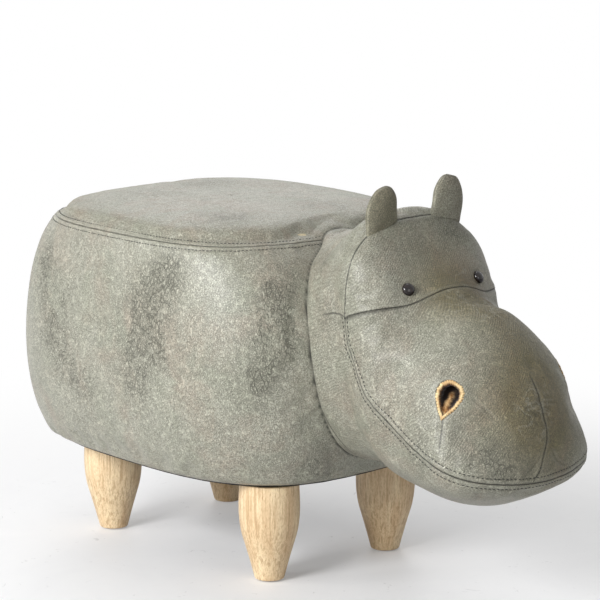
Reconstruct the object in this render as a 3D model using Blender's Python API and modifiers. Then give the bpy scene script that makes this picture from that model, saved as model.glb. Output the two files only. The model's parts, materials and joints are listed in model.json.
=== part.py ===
"""Hippo footstool: an upholstered animal stool on four turned wooden legs.

Metres, +Z up, +X towards the head and +Y towards the animal's left. Heights are measured from the floor.
Along X, sizes are measured from the middle of the four legs, and the whole stool is shifted at the end so
that the origin is under the middle of its overall length.
"""
import math
from typing import NamedTuple

import bmesh
import bpy
import numpy as np
from mathutils import Matrix, Vector

# Clearances and walls
FIT_GAP = 0.0003
SOFT_GAP = 0.0005
SEAM_GAP = 0.0004
BACK_GAP = 0.0008
COVER = 0.0014
CUT_OVERRUN = 0.004
WELD_GAP = 0.00001
JOIN_GAP = 0.0001

# Steps of the numerical searches, as shares, angles and counts
SLOPE_STEP = 1e-3
SEARCH_STEP = 1e-4
SMALLEST_SHARE = 1e-9
HALVINGS = 40
SEARCH_ROUNDS = 6

# Barrel of the body: an oval with square shoulders, widest at the girth
BODY_LENGTH = 0.4806
BODY_WIDTH = 0.3606
BODY_X = -0.0262
BODY_SQUARENESS = 3.04
SEAT_SEAM_Z = 0.3640
GIRTH_SHARE = 0.4529
BODY_BOTTOM_Z = 0.1092
SEAM_INSET_END = 0.0575
SEAM_INSET_SIDE = 0.0141
BOTTOM_INSET = 0.0261
TOP_ARC_SHARE = 0.873
BOTTOM_ARC_SHARE = 0.942
HEM_TURN = 0.022
HEM_TILT_SHARE = 0.3
SEAT_CROWN = 0.0225
CROWN_FLATNESS = 4.2
CROWN_ROUNDNESS = 0.42
CROWN_RING_SHARES = (0.985, 0.94, 0.86, 0.72, 0.48, 0.24, 0.0)
BODY_COLUMNS = 40
BOTTOM_ARC_ROWS = 4
TOP_ARC_ROWS = 3

# Wooden carcass
BOARD = 0.015
SEAT_BOARD = 0.012
BASE_BOARD_SETBACK = 0.010
END_FOAM = 0.0773
SIDE_FOAM = 0.0418
WRAP_WALL = 0.003
SEAT_FOAM = 0.0520
POST_SIDE = 0.030
POST_END_SETBACK = 0.0710
POST_SIDE_SETBACK = 0.0585
DUST_COVER = 0.0006
DUST_SETBACK = 0.006
BOARD_COLUMNS = 40

# Plywood keel that carries the head
KEEL_WALL = 0.012
KEEL_LENGTH = 0.098
KEEL_SETBACK = 0.0058
TONGUE_REACH_SHARE = 0.6825
TONGUE_LOW_SHARE = 0.2190
TONGUE_HIGH_SHARE = 0.5371
TONGUE_TIP_DROP = 0.020

# Legs, their bolts and feet
LEG_END_SETBACK = 0.0692
LEG_SIDE_SETBACK = 0.0589
LEG_RADIUS = 0.0325
LEG_STEPS = 18
LEG_HEIGHT_SHARES = (1.0, 0.85, 0.646, 0.443, 0.24, 0.046, 0.010, 0.0)
LEG_RADIUS_SHARES = (0.985, 0.997, 1.0, 0.914, 0.723, 0.554, 0.47, 0.40)
BOLT_RADIUS = 0.0040
BOLT_IN_LEG = 0.030
BOLT_STEPS = 10
NUT_BARREL_RADIUS = 0.0052
NUT_BARREL = 0.0085
NUT_FLANGE_RADIUS = 0.0105
NUT_FLANGE = 0.0014
FOOT_PAD_RADIUS = 0.0100
FOOT_PAD = 0.0030
FOOT_PAD_PROUD = 0.0010

# Wood screws
SCREW_RADIUS = 0.0020
SCREW_HEAD_RADIUS = 0.0042
SCREW_HEAD = 0.0028
SCREW_HEAD_RIM = 0.0005
SCREW_LENGTH = 0.040
SCREW_TIP = 0.005
SCREW_STEPS = 8

# Head: a loft of egg-shaped sections along X, each with a top, a widest height, a bottom and a half width
HEAD_OVERLAP = 0.0641
HEAD_LENGTH = 0.3077
JAW_RISE = 0.0088
HEAD_CREST = 0.0370
HEAD_HALF_WIDTH = 0.1040
STATION_SHARES = (0.0, 0.179, 0.364, 0.488, 0.601, 0.731, 0.878, 1.0)
TOP_SHARES = (0.925, 0.945, 1.0, 0.836, 0.735, 0.677, 0.597, 0.517)
WAIST_SHARES = (0.493, 0.529, 0.554, 0.425, 0.320, 0.246, 0.178, 0.138)
BOTTOM_SHARES = (0.046, 0.055, 0.056, 0.036, 0.022, 0.001, 0.015, 0.059)
WIDTH_SHARES = (0.771, 0.844, 0.896, 0.996, 0.984, 0.990, 0.999, 0.913)
NECK_SQUARENESS = 2.05
CRANIUM_SQUARENESS = 2.66
MUZZLE_SQUARENESS = 2.05
JAW_SQUARENESS = 2.13
CRANIUM_STATION_SHARE = 0.364
MUZZLE_STATION_SHARE = 0.731
WIDTH_CAP_SHARE = 0.672
HEIGHT_CAP_SHARE = 0.684
WIDTH_CAP_ROUNDNESS = 2.20
UPPER_CAP_ROUNDNESS = 2.17
LOWER_CAP_ROUNDNESS = 2.21
CORE_SHARE = 0.682

# Seams of the head: angles in a section are measured from the animal's left side, upwards
CHEEK_CORNER_ANGLE = math.radians(17)
CHEEK_CORNER_SHARE = 0.35587
FACE_SEAM_RISE = 0.0055
BROW_SEAM_SHARE = 0.56484
BROW_SWEEP_POWER = 2.2
MOUTH_REACH_SHARES = (0.0, 0.016, 0.048, 0.103, 0.164, 0.235, 0.313, 0.390, 0.46, 1.0)
MOUTH_ANGLE_SHARES = (1.0, 0.51, 0.13, -0.12, -0.25, -0.19, -0.08, -0.02, 0.0, 0.0)
TOP_COLUMNS = 16
JAW_COLUMNS = 14
NECK_ROWS = 4
NECK_TUCK = 0.014
NECK_SEARCH_SHARE = 0.125
FOREHEAD_ROWS = 3
MUZZLE_ROWS = 10

# Ears
EAR_HALF_WIDTH = 0.0182
EAR_HALF_THICKNESS = 0.0056
EAR_ANGLE = math.radians(69)
EAR_ANGLE_SPAN = math.radians(10.5)
EAR_TIP_SHARES = (0.38187, 0.46827, 1.12438)
EAR_WALL = 0.0012
EAR_ROW_SHARES = (0.0, 0.14, 0.34, 0.56, 0.76, 0.90, 0.975, 1.0)
EAR_SOLE_SHARES = (0.0, 0.55)
EAR_COLUMNS = 16
EAR_FLATNESS = 2.6
EAR_FLARE_SHARE = 0.10

# Eyes
EYE_SHARE = 0.51511
EYE_ANGLE = math.radians(64.5)
EYE_RADIUS = 0.0066
EYE_DOME = 0.0052
EYE_RIM = 0.0012
EYE_STEM_RADIUS = 0.0022
EYE_STEM = 0.0110
EYE_LIFT = 0.0009
EYE_STEPS = 14
EYE_DOME_STEPS = 4
WASHER_RADIUS = 0.0060
WASHER_WALL = 0.0018

# Nostrils: a teardrop, point down, drawn flat and laid on the muzzle
NOSTRIL_SHARE = 0.80110
NOSTRIL_ANGLE = math.radians(38.0)
NOSTRIL_HEIGHT = 0.0390
NOSTRIL_WIDTH = 0.0250
NOSTRIL_LEAN = math.radians(4)
NOSTRIL_POINTEDNESS = 1.3
NOSTRIL_STEPS = 18
LINING_WALL = 0.0010
LINING_LIP_SHARE = 0.80
LINING_FLOOR_SHARE = 0.36
LINING_LIP_DEPTH = 0.0030
LINING_DEPTH = 0.0170

BODY_HALF_LENGTH = BODY_LENGTH / 2
BODY_HALF_WIDTH = BODY_WIDTH / 2
GIRTH_Z = BODY_BOTTOM_Z + (SEAT_SEAM_Z - BODY_BOTTOM_Z) * GIRTH_SHARE
BASE_BOTTOM_Z = BODY_BOTTOM_Z + COVER + FIT_GAP
BASE_TOP_Z = BASE_BOTTOM_Z + BOARD
SEAT_BOARD_TOP_Z = SEAT_SEAM_Z - SEAT_FOAM
SEAT_BOARD_BOTTOM_Z = SEAT_BOARD_TOP_Z - SEAT_BOARD
LEG_TOP_Z = BODY_BOTTOM_Z - DUST_COVER - 2 * FIT_GAP
BASE_HALF_LENGTH = BODY_HALF_LENGTH - BOTTOM_INSET - BASE_BOARD_SETBACK
BASE_HALF_WIDTH = BODY_HALF_WIDTH - BOTTOM_INSET - BASE_BOARD_SETBACK
WRAP_HALF_LENGTH = BODY_HALF_LENGTH - END_FOAM
WRAP_HALF_WIDTH = BODY_HALF_WIDTH - SIDE_FOAM
POST_X = WRAP_HALF_LENGTH - POST_END_SETBACK
POST_Y = WRAP_HALF_WIDTH - POST_SIDE_SETBACK
LEG_X = BASE_HALF_LENGTH - LEG_END_SETBACK
LEG_Y = BASE_HALF_WIDTH - LEG_SIDE_SETBACK
HEAD_BACK_X = BODY_X + BODY_HALF_LENGTH - HEAD_OVERLAP
NOSE_X = HEAD_BACK_X + HEAD_LENGTH
JAW_Z = BODY_BOTTOM_Z + JAW_RISE
HEAD_HEIGHT = SEAT_SEAM_Z + HEAD_CREST - JAW_Z
CHEEK_CORNER_X = HEAD_BACK_X + HEAD_LENGTH * CHEEK_CORNER_SHARE
BROW_SEAM_X = HEAD_BACK_X + HEAD_LENGTH * BROW_SEAM_SHARE
EYE_X = HEAD_BACK_X + HEAD_LENGTH * EYE_SHARE
NOSTRIL_X = HEAD_BACK_X + HEAD_LENGTH * NOSTRIL_SHARE
EAR_TIP = Vector(
    (
        HEAD_BACK_X + HEAD_LENGTH * EAR_TIP_SHARES[0],
        HEAD_HALF_WIDTH * EAR_TIP_SHARES[1],
        JAW_Z + HEAD_HEIGHT * EAR_TIP_SHARES[2],
    )
)
KEEL_FRONT_X = BODY_X + WRAP_HALF_LENGTH - WRAP_WALL - KEEL_SETBACK
KEEL_BACK_X = KEEL_FRONT_X - KEEL_LENGTH
TONGUE_TIP_X = HEAD_BACK_X + HEAD_LENGTH * TONGUE_REACH_SHARE
TONGUE_LOW_Z = JAW_Z + HEAD_HEIGHT * TONGUE_LOW_SHARE
TONGUE_HIGH_Z = JAW_Z + HEAD_HEIGHT * TONGUE_HIGH_SHARE
SIDES = {"left": 1, "right": -1}
ENDS = {"front": 1, "rear": -1}


class Swell(NamedTuple):
    """A soft bump or hollow of the head: its place, reach and height as shares of the head's sizes."""

    along: float
    across: float
    up: float
    reach: float
    height: float


SWELL_SHARES = (
    Swell(0.829, 0.673, 0.484, 0.092, 0.0124),
    Swell(0.916, 0.750, 0.332, 0.085, -0.0170),
    Swell(0.894, 0.817, 0.159, 0.106, 0.0463),
    Swell(0.559, 0.577, 0.696, 0.085, -0.0332),
    Swell(0.829, 0.721, 0.060, 0.106, -0.0332),
    Swell(0.731, 0.0, 0.678, 0.124, 0.0223),
    Swell(0.439, 0.769, 0.855, 0.106, 0.0360),
    Swell(0.942, 0.0, 0.413, 0.106, 0.0244),
    Swell(0.585, 0.865, 0.466, 0.124, -0.0180),
)


# Scene and materials
def clear_scene():
    """Remove the objects that a new file starts with."""
    for item in list(bpy.data.objects):
        bpy.data.objects.remove(item, do_unlink=True)


def material(name, colour, roughness, metallic=0.0):
    """A plain Principled material."""
    made = bpy.data.materials.new(name)
    made.use_nodes = True
    shader = made.node_tree.nodes["Principled BSDF"]
    shader.inputs["Base Color"].default_value = (*colour, 1.0)
    shader.inputs["Roughness"].default_value = roughness
    shader.inputs["Metallic"].default_value = metallic
    made.diffuse_color = (*colour, 1.0)
    return made


clear_scene()
STOOL = bpy.data.collections.new("hippo_footstool")
CUTTERS = bpy.data.collections.new("cutters")
for group in (STOOL, CUTTERS):
    bpy.context.scene.collection.children.link(group)
ROOT = bpy.data.objects.new("stool_root", None)
STOOL.objects.link(ROOT)

HIDE = material("hide_faux_leather", (0.290, 0.285, 0.222), 0.62)
LINING = material("lining_suede", (0.520, 0.270, 0.090), 0.85)
FOAM = material("foam", (0.820, 0.760, 0.560), 0.95)
FIBRE = material("fibre_stuffing", (0.850, 0.840, 0.800), 0.95)
PLYWOOD = material("plywood", (0.640, 0.480, 0.300), 0.70)
HARDBOARD = material("hardboard", (0.400, 0.270, 0.150), 0.80)
SOFTWOOD = material("softwood", (0.700, 0.550, 0.340), 0.70)
TURNED_WOOD = material("turned_wood", (0.680, 0.520, 0.330), 0.50)
STEEL = material("zinc_plated_steel", (0.560, 0.570, 0.580), 0.35, 1.0)
EYE_BLACK = material("eye_black", (0.012, 0.011, 0.010), 0.10)
WASHER_WHITE = material("washer_plastic", (0.750, 0.750, 0.730), 0.50)
FELT = material("felt", (0.200, 0.170, 0.140), 0.95)
NONWOVEN = material("dust_cloth", (0.030, 0.030, 0.032), 0.95)


# Objects from meshes and curves
def add_object(name, bm, look, collection=STOOL, smooth=True):
    """Turn a bmesh into a named object, welded, facing out and, where it is smooth, in triangles.

    Skins that lie one in another are split the same way, so they stay clear of each other.
    """
    bmesh.ops.remove_doubles(bm, verts=bm.verts, dist=WELD_GAP)
    bmesh.ops.recalc_face_normals(bm, faces=bm.faces)
    if smooth:
        bmesh.ops.triangulate(bm, faces=bm.faces, quad_method="SHORT_EDGE")
    mesh = bpy.data.meshes.new(name)
    bm.to_mesh(mesh)
    bm.free()
    if smooth:
        mesh.shade_smooth()
    return place_object(name, mesh, look, collection)


def place_object(name, mesh, look, collection=STOOL):
    """Link a new object under the stool's root."""
    made = bpy.data.objects.new(name, mesh)
    collection.objects.link(made)
    if look:
        mesh.materials.append(look)
    if collection is CUTTERS:
        made.hide_render = True
        made.display_type = "WIRE"
    made.parent = ROOT
    return made


def cut(target, *cutters):
    """Subtract each cutter from the target."""
    for cutter in cutters:
        modifier = target.modifiers.new(f"cut_{cutter.name}", "BOOLEAN")
        modifier.operation = "DIFFERENCE"
        modifier.solver = "EXACT"
        modifier.object = cutter


def turned(name, profile, steps, look, place=Matrix(), collection=STOOL):
    """Revolve a profile of (radius, height) points, given down its outer side, about its own Z axis."""
    mesh = bpy.data.meshes.new(name)
    points = [(radius, 0.0, height) for radius, height in profile]
    edges = [(i, i + 1) for i in range(len(points) - 1)]
    if points[0] == points[-1]:
        points.pop()
        edges[-1] = (len(points) - 1, 0)
    mesh.from_pydata(points, edges, [])
    made = place_object(name, mesh, look, collection)
    made.matrix_local = place
    screw = made.modifiers.new("turn", "SCREW")
    screw.angle = math.tau
    screw.steps = steps
    screw.render_steps = steps
    screw.use_merge_vertices = True
    screw.merge_threshold = WELD_GAP
    screw.use_smooth_shade = True
    return made


def box(name, low, high, look, collection=STOOL):
    """A rectangular block between two corners."""
    bm = bmesh.new()
    bmesh.ops.create_cube(bm, size=1.0)
    size = Vector(high) - Vector(low)
    middle = (Vector(high) + Vector(low)) / 2
    bmesh.ops.scale(bm, vec=size, verts=bm.verts)
    bmesh.ops.translate(bm, vec=middle, verts=bm.verts)
    return add_object(name, bm, look, collection, smooth=False)


def oval_points(half_length, half_width, count=BODY_COLUMNS):
    """Points round the body's oval outline, the first one half a step past the front."""
    turn = np.linspace(0.0, math.tau, count, endpoint=False) + math.pi / count
    cosine, sine = np.cos(turn), np.sin(turn)
    reach = (np.abs(cosine / half_length) ** BODY_SQUARENESS + np.abs(sine / half_width) ** BODY_SQUARENESS)
    reach = reach ** (-1.0 / BODY_SQUARENESS)
    return np.stack([BODY_X + reach * cosine, reach * sine], axis=-1)


def plate(name, outline, rise, look):
    """A flat outline of points, filled and extruded by a vector."""
    bm = bmesh.new()
    ring = [bm.verts.new(point) for point in outline]
    edges = [bm.edges.new((ring[i - 1], ring[i])) for i in range(len(ring))]
    faces = bmesh.ops.edgeloop_fill(bm, edges=edges)["faces"]
    grown = bmesh.ops.extrude_face_region(bm, geom=faces)["geom"]
    raised = [item for item in grown if isinstance(item, bmesh.types.BMVert)]
    bmesh.ops.translate(bm, vec=rise, verts=raised)
    return add_object(name, bm, look, smooth=False)


def oval_board(name, half_length, half_width, bottom, top, look):
    """A flat board with the body's oval outline."""
    outline = [(x, y, bottom) for x, y in oval_points(half_length, half_width, BOARD_COLUMNS)]
    return plate(name, outline, (0.0, 0.0, top - bottom), look)


def grid_patch(bm, points, outward):
    """Add a grid of faces through the points and keep the outward direction of each on a layer."""
    rows, columns = points.shape[:2]
    layer = bm.verts.layers.float_vector.get("outward") or bm.verts.layers.float_vector.new("outward")
    made = bmesh.ops.create_grid(bm, x_segments=columns - 1, y_segments=rows - 1, size=1.0)["verts"]
    for vertex, place, direction in zip(made, points.reshape(-1, 3), outward.reshape(-1, 3)):
        vertex.co = place
        vertex[layer] = direction
    return made


def pull_borders_in(bm, distance):
    """Move each border vertex into its own panel, which leaves the seam's gap between two panels."""
    moves = {}
    for vertex in bm.verts:
        if not vertex.is_boundary:
            continue
        inner = [edge.other_vert(vertex).co for edge in vertex.link_edges if not edge.is_boundary]
        rim = [edge.other_vert(vertex).co for edge in vertex.link_edges if edge.is_boundary]
        if len(rim) != 2:
            continue
        middle = sum(inner, Vector()) / len(inner) if inner else (rim[0] + rim[1]) / 2
        along = (rim[1] - rim[0]).normalized()
        step = middle - vertex.co
        step -= along * step.dot(along)
        if step.length > distance:
            moves[vertex] = step.normalized() * distance
    for vertex, step in moves.items():
        vertex.co += step


def thicken(bm, wall):
    """Give an open surface an inner face at the wall's depth and close the rim between them."""
    layer = bm.verts.layers.float_vector["outward"]
    border = [edge for edge in bm.edges if edge.is_boundary]
    outer = bm.verts[:]
    copy = bmesh.ops.duplicate(bm, geom=bm.verts[:] + bm.edges[:] + bm.faces[:])
    inner_faces = [item for item in copy["geom"] if isinstance(item, bmesh.types.BMFace)]
    inner = {vertex: copy["vert_map"][vertex] for vertex in outer}
    for vertex, twin in inner.items():
        twin.co = vertex.co - vertex[layer] * wall
    bmesh.ops.reverse_faces(bm, faces=inner_faces)
    for edge in border:
        loop = edge.link_loops[0]
        start, end = loop.vert, loop.link_loop_next.vert
        bm.faces.new((end, start, inner[start], inner[end]))


def sink(bm, depth):
    """Move a whole surface inwards by a depth."""
    layer = bm.verts.layers.float_vector["outward"]
    for vertex in bm.verts:
        vertex.co -= vertex[layer] * depth


# Body surface
def body_rows():
    """Height and insets from the ends and from the sides, for each row from the hem to the seat seam."""
    rows = [(BODY_BOTTOM_Z, BOTTOM_INSET + HEM_TURN, BOTTOM_INSET + HEM_TURN)]
    steepest = math.asin(BOTTOM_ARC_SHARE)
    deepest = 1.0 - math.cos(steepest)
    for step in range(BOTTOM_ARC_ROWS):
        angle = steepest * (1.0 - step / BOTTOM_ARC_ROWS)
        drop = (GIRTH_Z - BODY_BOTTOM_Z) * math.sin(angle) / BOTTOM_ARC_SHARE
        inset = BOTTOM_INSET * (1.0 - math.cos(angle)) / deepest
        rows.append((GIRTH_Z - drop, inset, inset))
    for height in np.linspace(GIRTH_Z, SEAT_BOARD_TOP_Z, TOP_ARC_ROWS):
        rows.append((float(height), *seam_insets(height)))
    for height in np.linspace(SEAT_BOARD_TOP_Z, SEAT_SEAM_Z, TOP_ARC_ROWS)[1:]:
        rows.append((float(height), *seam_insets(height)))
    return rows


def seam_insets(height):
    """How far the skin stands in from the girth at a height above it, at the ends and at the sides."""
    share = np.clip((height - GIRTH_Z) / (SEAT_SEAM_Z - GIRTH_Z), 0.0, 1.0)
    deepest = 1.0 - math.sqrt(1.0 - TOP_ARC_SHARE**2)
    bend = (1.0 - np.sqrt(1.0 - (share * TOP_ARC_SHARE) ** 2)) / deepest
    return SEAM_INSET_END * bend, SEAM_INSET_SIDE * bend


def bottom_inset(height):
    """How far the skin stands in from the girth at a height below it."""
    share = np.clip((GIRTH_Z - height) / (GIRTH_Z - BODY_BOTTOM_Z), 0.0, 1.0)
    deepest = 1.0 - math.sqrt(1.0 - BOTTOM_ARC_SHARE**2)
    return BOTTOM_INSET * (1.0 - np.sqrt(1.0 - (share * BOTTOM_ARC_SHARE) ** 2)) / deepest


def crown_height(share):
    """Height of the seat above its seam, at a share of the way from the middle to the seam."""
    return SEAT_CROWN * (1.0 - share**CROWN_FLATNESS) ** CROWN_ROUNDNESS


def body_skin():
    """Points and outward directions of the body's skin, and the index of the row at the seat seam."""
    rows = []
    for height, end_inset, side_inset in body_rows():
        ring = oval_points(BODY_HALF_LENGTH - end_inset, BODY_HALF_WIDTH - side_inset)
        rows.append(np.column_stack([ring, np.full(len(ring), height)]))
    seam_row = len(rows) - 1
    seam = rows[-1]
    middle = np.array([BODY_X, 0.0])
    for share in CROWN_RING_SHARES:
        ring = middle + (seam[:, :2] - middle) * share
        rows.append(np.column_stack([ring, np.full(len(ring), SEAT_SEAM_Z + crown_height(share))]))
    points = np.array(rows)
    round_step = np.roll(points, -1, axis=1) - np.roll(points, 1, axis=1)
    up_step = np.gradient(points, axis=0)
    outward = np.cross(round_step, up_step)
    outward[0] = outward[1] * (HEM_TILT_SHARE, HEM_TILT_SHARE, 0.0) + (0.0, 0.0, -np.abs(outward[1]).max())
    outward[-1] = (0.0, 0.0, 1.0)
    outward /= np.linalg.norm(outward, axis=-1, keepdims=True)
    closed = np.concatenate([points, points[:, :1]], axis=1)
    return closed, np.concatenate([outward, outward[:, :1]], axis=1), seam_row


def body_front_x(y, z):
    """X of the body's front skin at a place across and a height."""
    z = np.asarray(z, dtype=float)
    end_inset, side_inset = seam_insets(z)
    low = z < GIRTH_Z
    end_inset = np.where(low, bottom_inset(z), end_inset)
    side_inset = np.where(low, bottom_inset(z), side_inset)
    rise = np.clip((z - SEAT_SEAM_Z) / SEAT_CROWN, 0.0, 1.0)
    shrink = (1.0 - rise ** (1.0 / CROWN_ROUNDNESS)) ** (1.0 / CROWN_FLATNESS)
    half_length = (BODY_HALF_LENGTH - end_inset) * shrink
    half_width = (BODY_HALF_WIDTH - side_inset) * shrink
    share = np.clip(np.abs(y) / np.maximum(half_width, FIT_GAP), 0.0, 1.0)
    return BODY_X + half_length * (1.0 - share**BODY_SQUARENESS) ** (1.0 / BODY_SQUARENESS)


# Head surface
def smooth_curve(places, values):
    """A natural cubic through the points, as a function."""
    places, values = np.asarray(places, float), np.asarray(values, float)
    span, rise = np.diff(places), np.diff(values)
    count = len(places)
    system, answer = np.eye(count), np.zeros(count)
    for i in range(1, count - 1):
        system[i, i - 1 : i + 2] = span[i - 1], 2 * (span[i - 1] + span[i]), span[i]
        answer[i] = 6 * (rise[i] / span[i] - rise[i - 1] / span[i - 1])
    bend = np.linalg.solve(system, answer)

    def value(at):
        at = np.asarray(at, float)
        i = np.clip(np.searchsorted(places, at) - 1, 0, count - 2)
        after, before = at - places[i], places[i + 1] - at
        straight = (values[i] * before + values[i + 1] * after) / span[i]
        curve = bend[i] * (before**3 / span[i] - span[i] * before)
        curve += bend[i + 1] * (after**3 / span[i] - span[i] * after)
        return straight + curve / 6

    return value


TOP_CURVE, WAIST_CURVE, BOTTOM_CURVE, WIDTH_CURVE = (
    smooth_curve(STATION_SHARES, shares) for shares in (TOP_SHARES, WAIST_SHARES, BOTTOM_SHARES, WIDTH_SHARES)
)
MOUTH_CURVE = smooth_curve(MOUTH_REACH_SHARES, MOUTH_ANGLE_SHARES)


def ease(share):
    """A smooth step from 0 to 1."""
    share = np.clip(share, 0.0, 1.0)
    return share * share * (3.0 - 2.0 * share)


def rounded_end(along, start, roundness):
    """Size left of a section past the start of the nose's rounding: 1 before it, 0 at the tip."""
    share = np.clip((along - start) / (1.0 - start), 0.0, 1.0)
    return np.maximum(1.0 - share**roundness, SMALLEST_SHARE) ** (1.0 / roundness)


def head_point(x, angle):
    """Points of the head's skin at places along X and angles round its sections."""
    x, angle = np.broadcast_arrays(np.asarray(x, float), np.asarray(angle, float))
    along = (x - HEAD_BACK_X) / HEAD_LENGTH
    top, waist, bottom = (
        JAW_Z + HEAD_HEIGHT * curve(along) for curve in (TOP_CURVE, WAIST_CURVE, BOTTOM_CURVE)
    )
    half_width = HEAD_HALF_WIDTH * WIDTH_CURVE(along)
    half_width = half_width * rounded_end(along, WIDTH_CAP_SHARE, WIDTH_CAP_ROUNDNESS)
    over = (top - waist) * rounded_end(along, HEIGHT_CAP_SHARE, UPPER_CAP_ROUNDNESS)
    under = (waist - bottom) * rounded_end(along, HEIGHT_CAP_SHARE, LOWER_CAP_ROUNDNESS)
    upper = NECK_SQUARENESS + (CRANIUM_SQUARENESS - NECK_SQUARENESS) * ease(along / CRANIUM_STATION_SHARE)
    to_muzzle = ease((along - CRANIUM_STATION_SHARE) / (MUZZLE_STATION_SHARE - CRANIUM_STATION_SHARE))
    upper = upper + (MUZZLE_SQUARENESS - CRANIUM_SQUARENESS) * to_muzzle
    cosine, sine = np.cos(angle), np.sin(angle)
    rise = np.where(sine >= 0.0, over, under)
    power = np.where(sine >= 0.0, upper, JAW_SQUARENESS)
    reach = (np.abs(cosine / half_width) ** power + np.abs(sine / rise) ** power) ** (-1.0 / power)
    point = np.stack([x, reach * cosine, waist + reach * sine], axis=-1)
    core_x = np.minimum(x, HEAD_BACK_X + HEAD_LENGTH * CORE_SHARE)
    core = np.stack([core_x, np.zeros_like(x), waist], axis=-1)
    away = point - core
    away /= np.linalg.norm(away, axis=-1, keepdims=True)
    return point + away * swelling(point)[..., None]


def swelling(point):
    """Total height of the bumps and hollows at each point."""
    total = np.zeros(point.shape[:-1])
    for swell in SWELL_SHARES:
        reach = HEAD_HEIGHT * swell.reach
        for side in (1.0, -1.0) if swell.across else (1.0,):
            centre = np.array(
                [
                    HEAD_BACK_X + HEAD_LENGTH * swell.along,
                    side * HEAD_HALF_WIDTH * swell.across,
                    JAW_Z + HEAD_HEIGHT * swell.up,
                ]
            )
            distance = ((point - centre) ** 2).sum(axis=-1)
            total += HEAD_HEIGHT * swell.height * np.exp(-distance / (2.0 * reach**2))
    return total


def head_outward(x, angle):
    """Outward directions of the head's skin."""
    x, angle = np.broadcast_arrays(np.asarray(x, float), np.asarray(angle, float))
    along_step = HEAD_LENGTH * SLOPE_STEP
    safe_x = np.minimum(x, NOSE_X - 2 * along_step)
    round_step = head_point(safe_x, angle + SLOPE_STEP) - head_point(safe_x, angle - SLOPE_STEP)
    nose_step = head_point(safe_x + along_step, angle) - head_point(safe_x - along_step, angle)
    outward = np.cross(round_step, nose_step)
    outward /= np.linalg.norm(outward, axis=-1, keepdims=True)
    at_tip = ease((x - safe_x) / (2 * along_step))[..., None]
    outward = outward * (1.0 - at_tip) + np.array([1.0, 0.0, 0.0]) * at_tip
    return outward / np.linalg.norm(outward, axis=-1, keepdims=True)


def face_seam_x(angle):
    """X of the seam that runs over the crown between the ears."""
    lift = (np.sin(angle) - math.sin(CHEEK_CORNER_ANGLE)) / (1.0 - math.sin(CHEEK_CORNER_ANGLE))
    return CHEEK_CORNER_X + FACE_SEAM_RISE * lift


def brow_seam_x(angle):
    """X of the seam under the eyes."""
    aside = np.abs(math.pi / 2 - angle) / (math.pi / 2 - CHEEK_CORNER_ANGLE)
    return BROW_SEAM_X - (BROW_SEAM_X - CHEEK_CORNER_X) * aside**BROW_SWEEP_POWER


def mouth_seam_angle(x):
    """Angle of the mouth seam on the left side, at a place along X."""
    reach = np.clip((x - CHEEK_CORNER_X) / (NOSE_X - CHEEK_CORNER_X), 0.0, 1.0)
    return CHEEK_CORNER_ANGLE * MOUTH_CURVE(reach)


def neck_seam_x(angle):
    """X at which the neck's skin reaches the body's skin, found by halving."""
    low = np.full_like(angle, HEAD_BACK_X - HEAD_LENGTH * NECK_SEARCH_SHARE)
    high = np.full_like(angle, CHEEK_CORNER_X - FACE_SEAM_RISE)
    for _ in range(HALVINGS):
        middle = (low + high) / 2
        point = head_point(middle, angle)
        inside = point[:, 0] < body_front_x(point[:, 1], point[:, 2])
        low, high = np.where(inside, middle, low), np.where(inside, high, middle)
    return high


def head_patch(x, angle):
    """Points and outward directions of a grid of places on the head."""
    return head_point(x, angle), head_outward(x, angle)


def mirrored(angle):
    """The same place on the animal's right side."""
    return math.pi - angle


def head_patches():
    """The three panels of the head as grids: neck band, jaw, forehead and muzzle."""
    over = np.linspace(CHEEK_CORNER_ANGLE, mirrored(CHEEK_CORNER_ANGLE), TOP_COLUMNS + 1)
    under = np.linspace(mirrored(CHEEK_CORNER_ANGLE), CHEEK_CORNER_ANGLE + math.tau, JAW_COLUMNS + 1)
    ring = np.concatenate([over, under[1:]])
    neck_x = neck_seam_x(ring) - NECK_TUCK
    front_x = np.concatenate([face_seam_x(over), np.full(JAW_COLUMNS, CHEEK_CORNER_X)])
    share = np.linspace(0.0, 1.0, NECK_ROWS + 1)[:, None]
    neck = head_patch(neck_x + (front_x - neck_x) * share, np.broadcast_to(ring, (NECK_ROWS + 1, len(ring))))

    nose_share = np.sin(np.linspace(0.0, math.pi / 2, MUZZLE_ROWS + 1))[:, None]
    jaw_x = CHEEK_CORNER_X + (NOSE_X - CHEEK_CORNER_X) * nose_share
    left = mouth_seam_angle(jaw_x) + math.tau
    right = mirrored(mouth_seam_angle(jaw_x))
    across = np.linspace(0.0, 1.0, JAW_COLUMNS + 1)[None, :]
    jaw_angle = right + (left - right) * across
    jaw = head_patch(np.broadcast_to(jaw_x, jaw_angle.shape), jaw_angle)

    share = np.linspace(0.0, 1.0, FOREHEAD_ROWS + 1)[:, None]
    brow_x = brow_seam_x(over)
    forehead_x = face_seam_x(over) + (brow_x - face_seam_x(over)) * share
    forehead = head_patch(forehead_x, np.broadcast_to(over, forehead_x.shape))

    muzzle_x = brow_x + (NOSE_X - brow_x) * nose_share
    fan_x = CHEEK_CORNER_X + (muzzle_x - brow_x) * (NOSE_X - CHEEK_CORNER_X) / (NOSE_X - brow_x)
    spread = (math.pi / 2 - mouth_seam_angle(fan_x)) / (math.pi / 2 - CHEEK_CORNER_ANGLE)
    muzzle = head_patch(muzzle_x, math.pi / 2 + (over - math.pi / 2) * spread)
    return neck, jaw, forehead, muzzle


def skin_bmesh(*patches):
    """Weld grids into one open surface."""
    bm = bmesh.new()
    for points, outward in patches:
        grid_patch(bm, points, outward)
    bmesh.ops.remove_doubles(bm, verts=bm.verts, dist=JOIN_GAP)
    return bm


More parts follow.
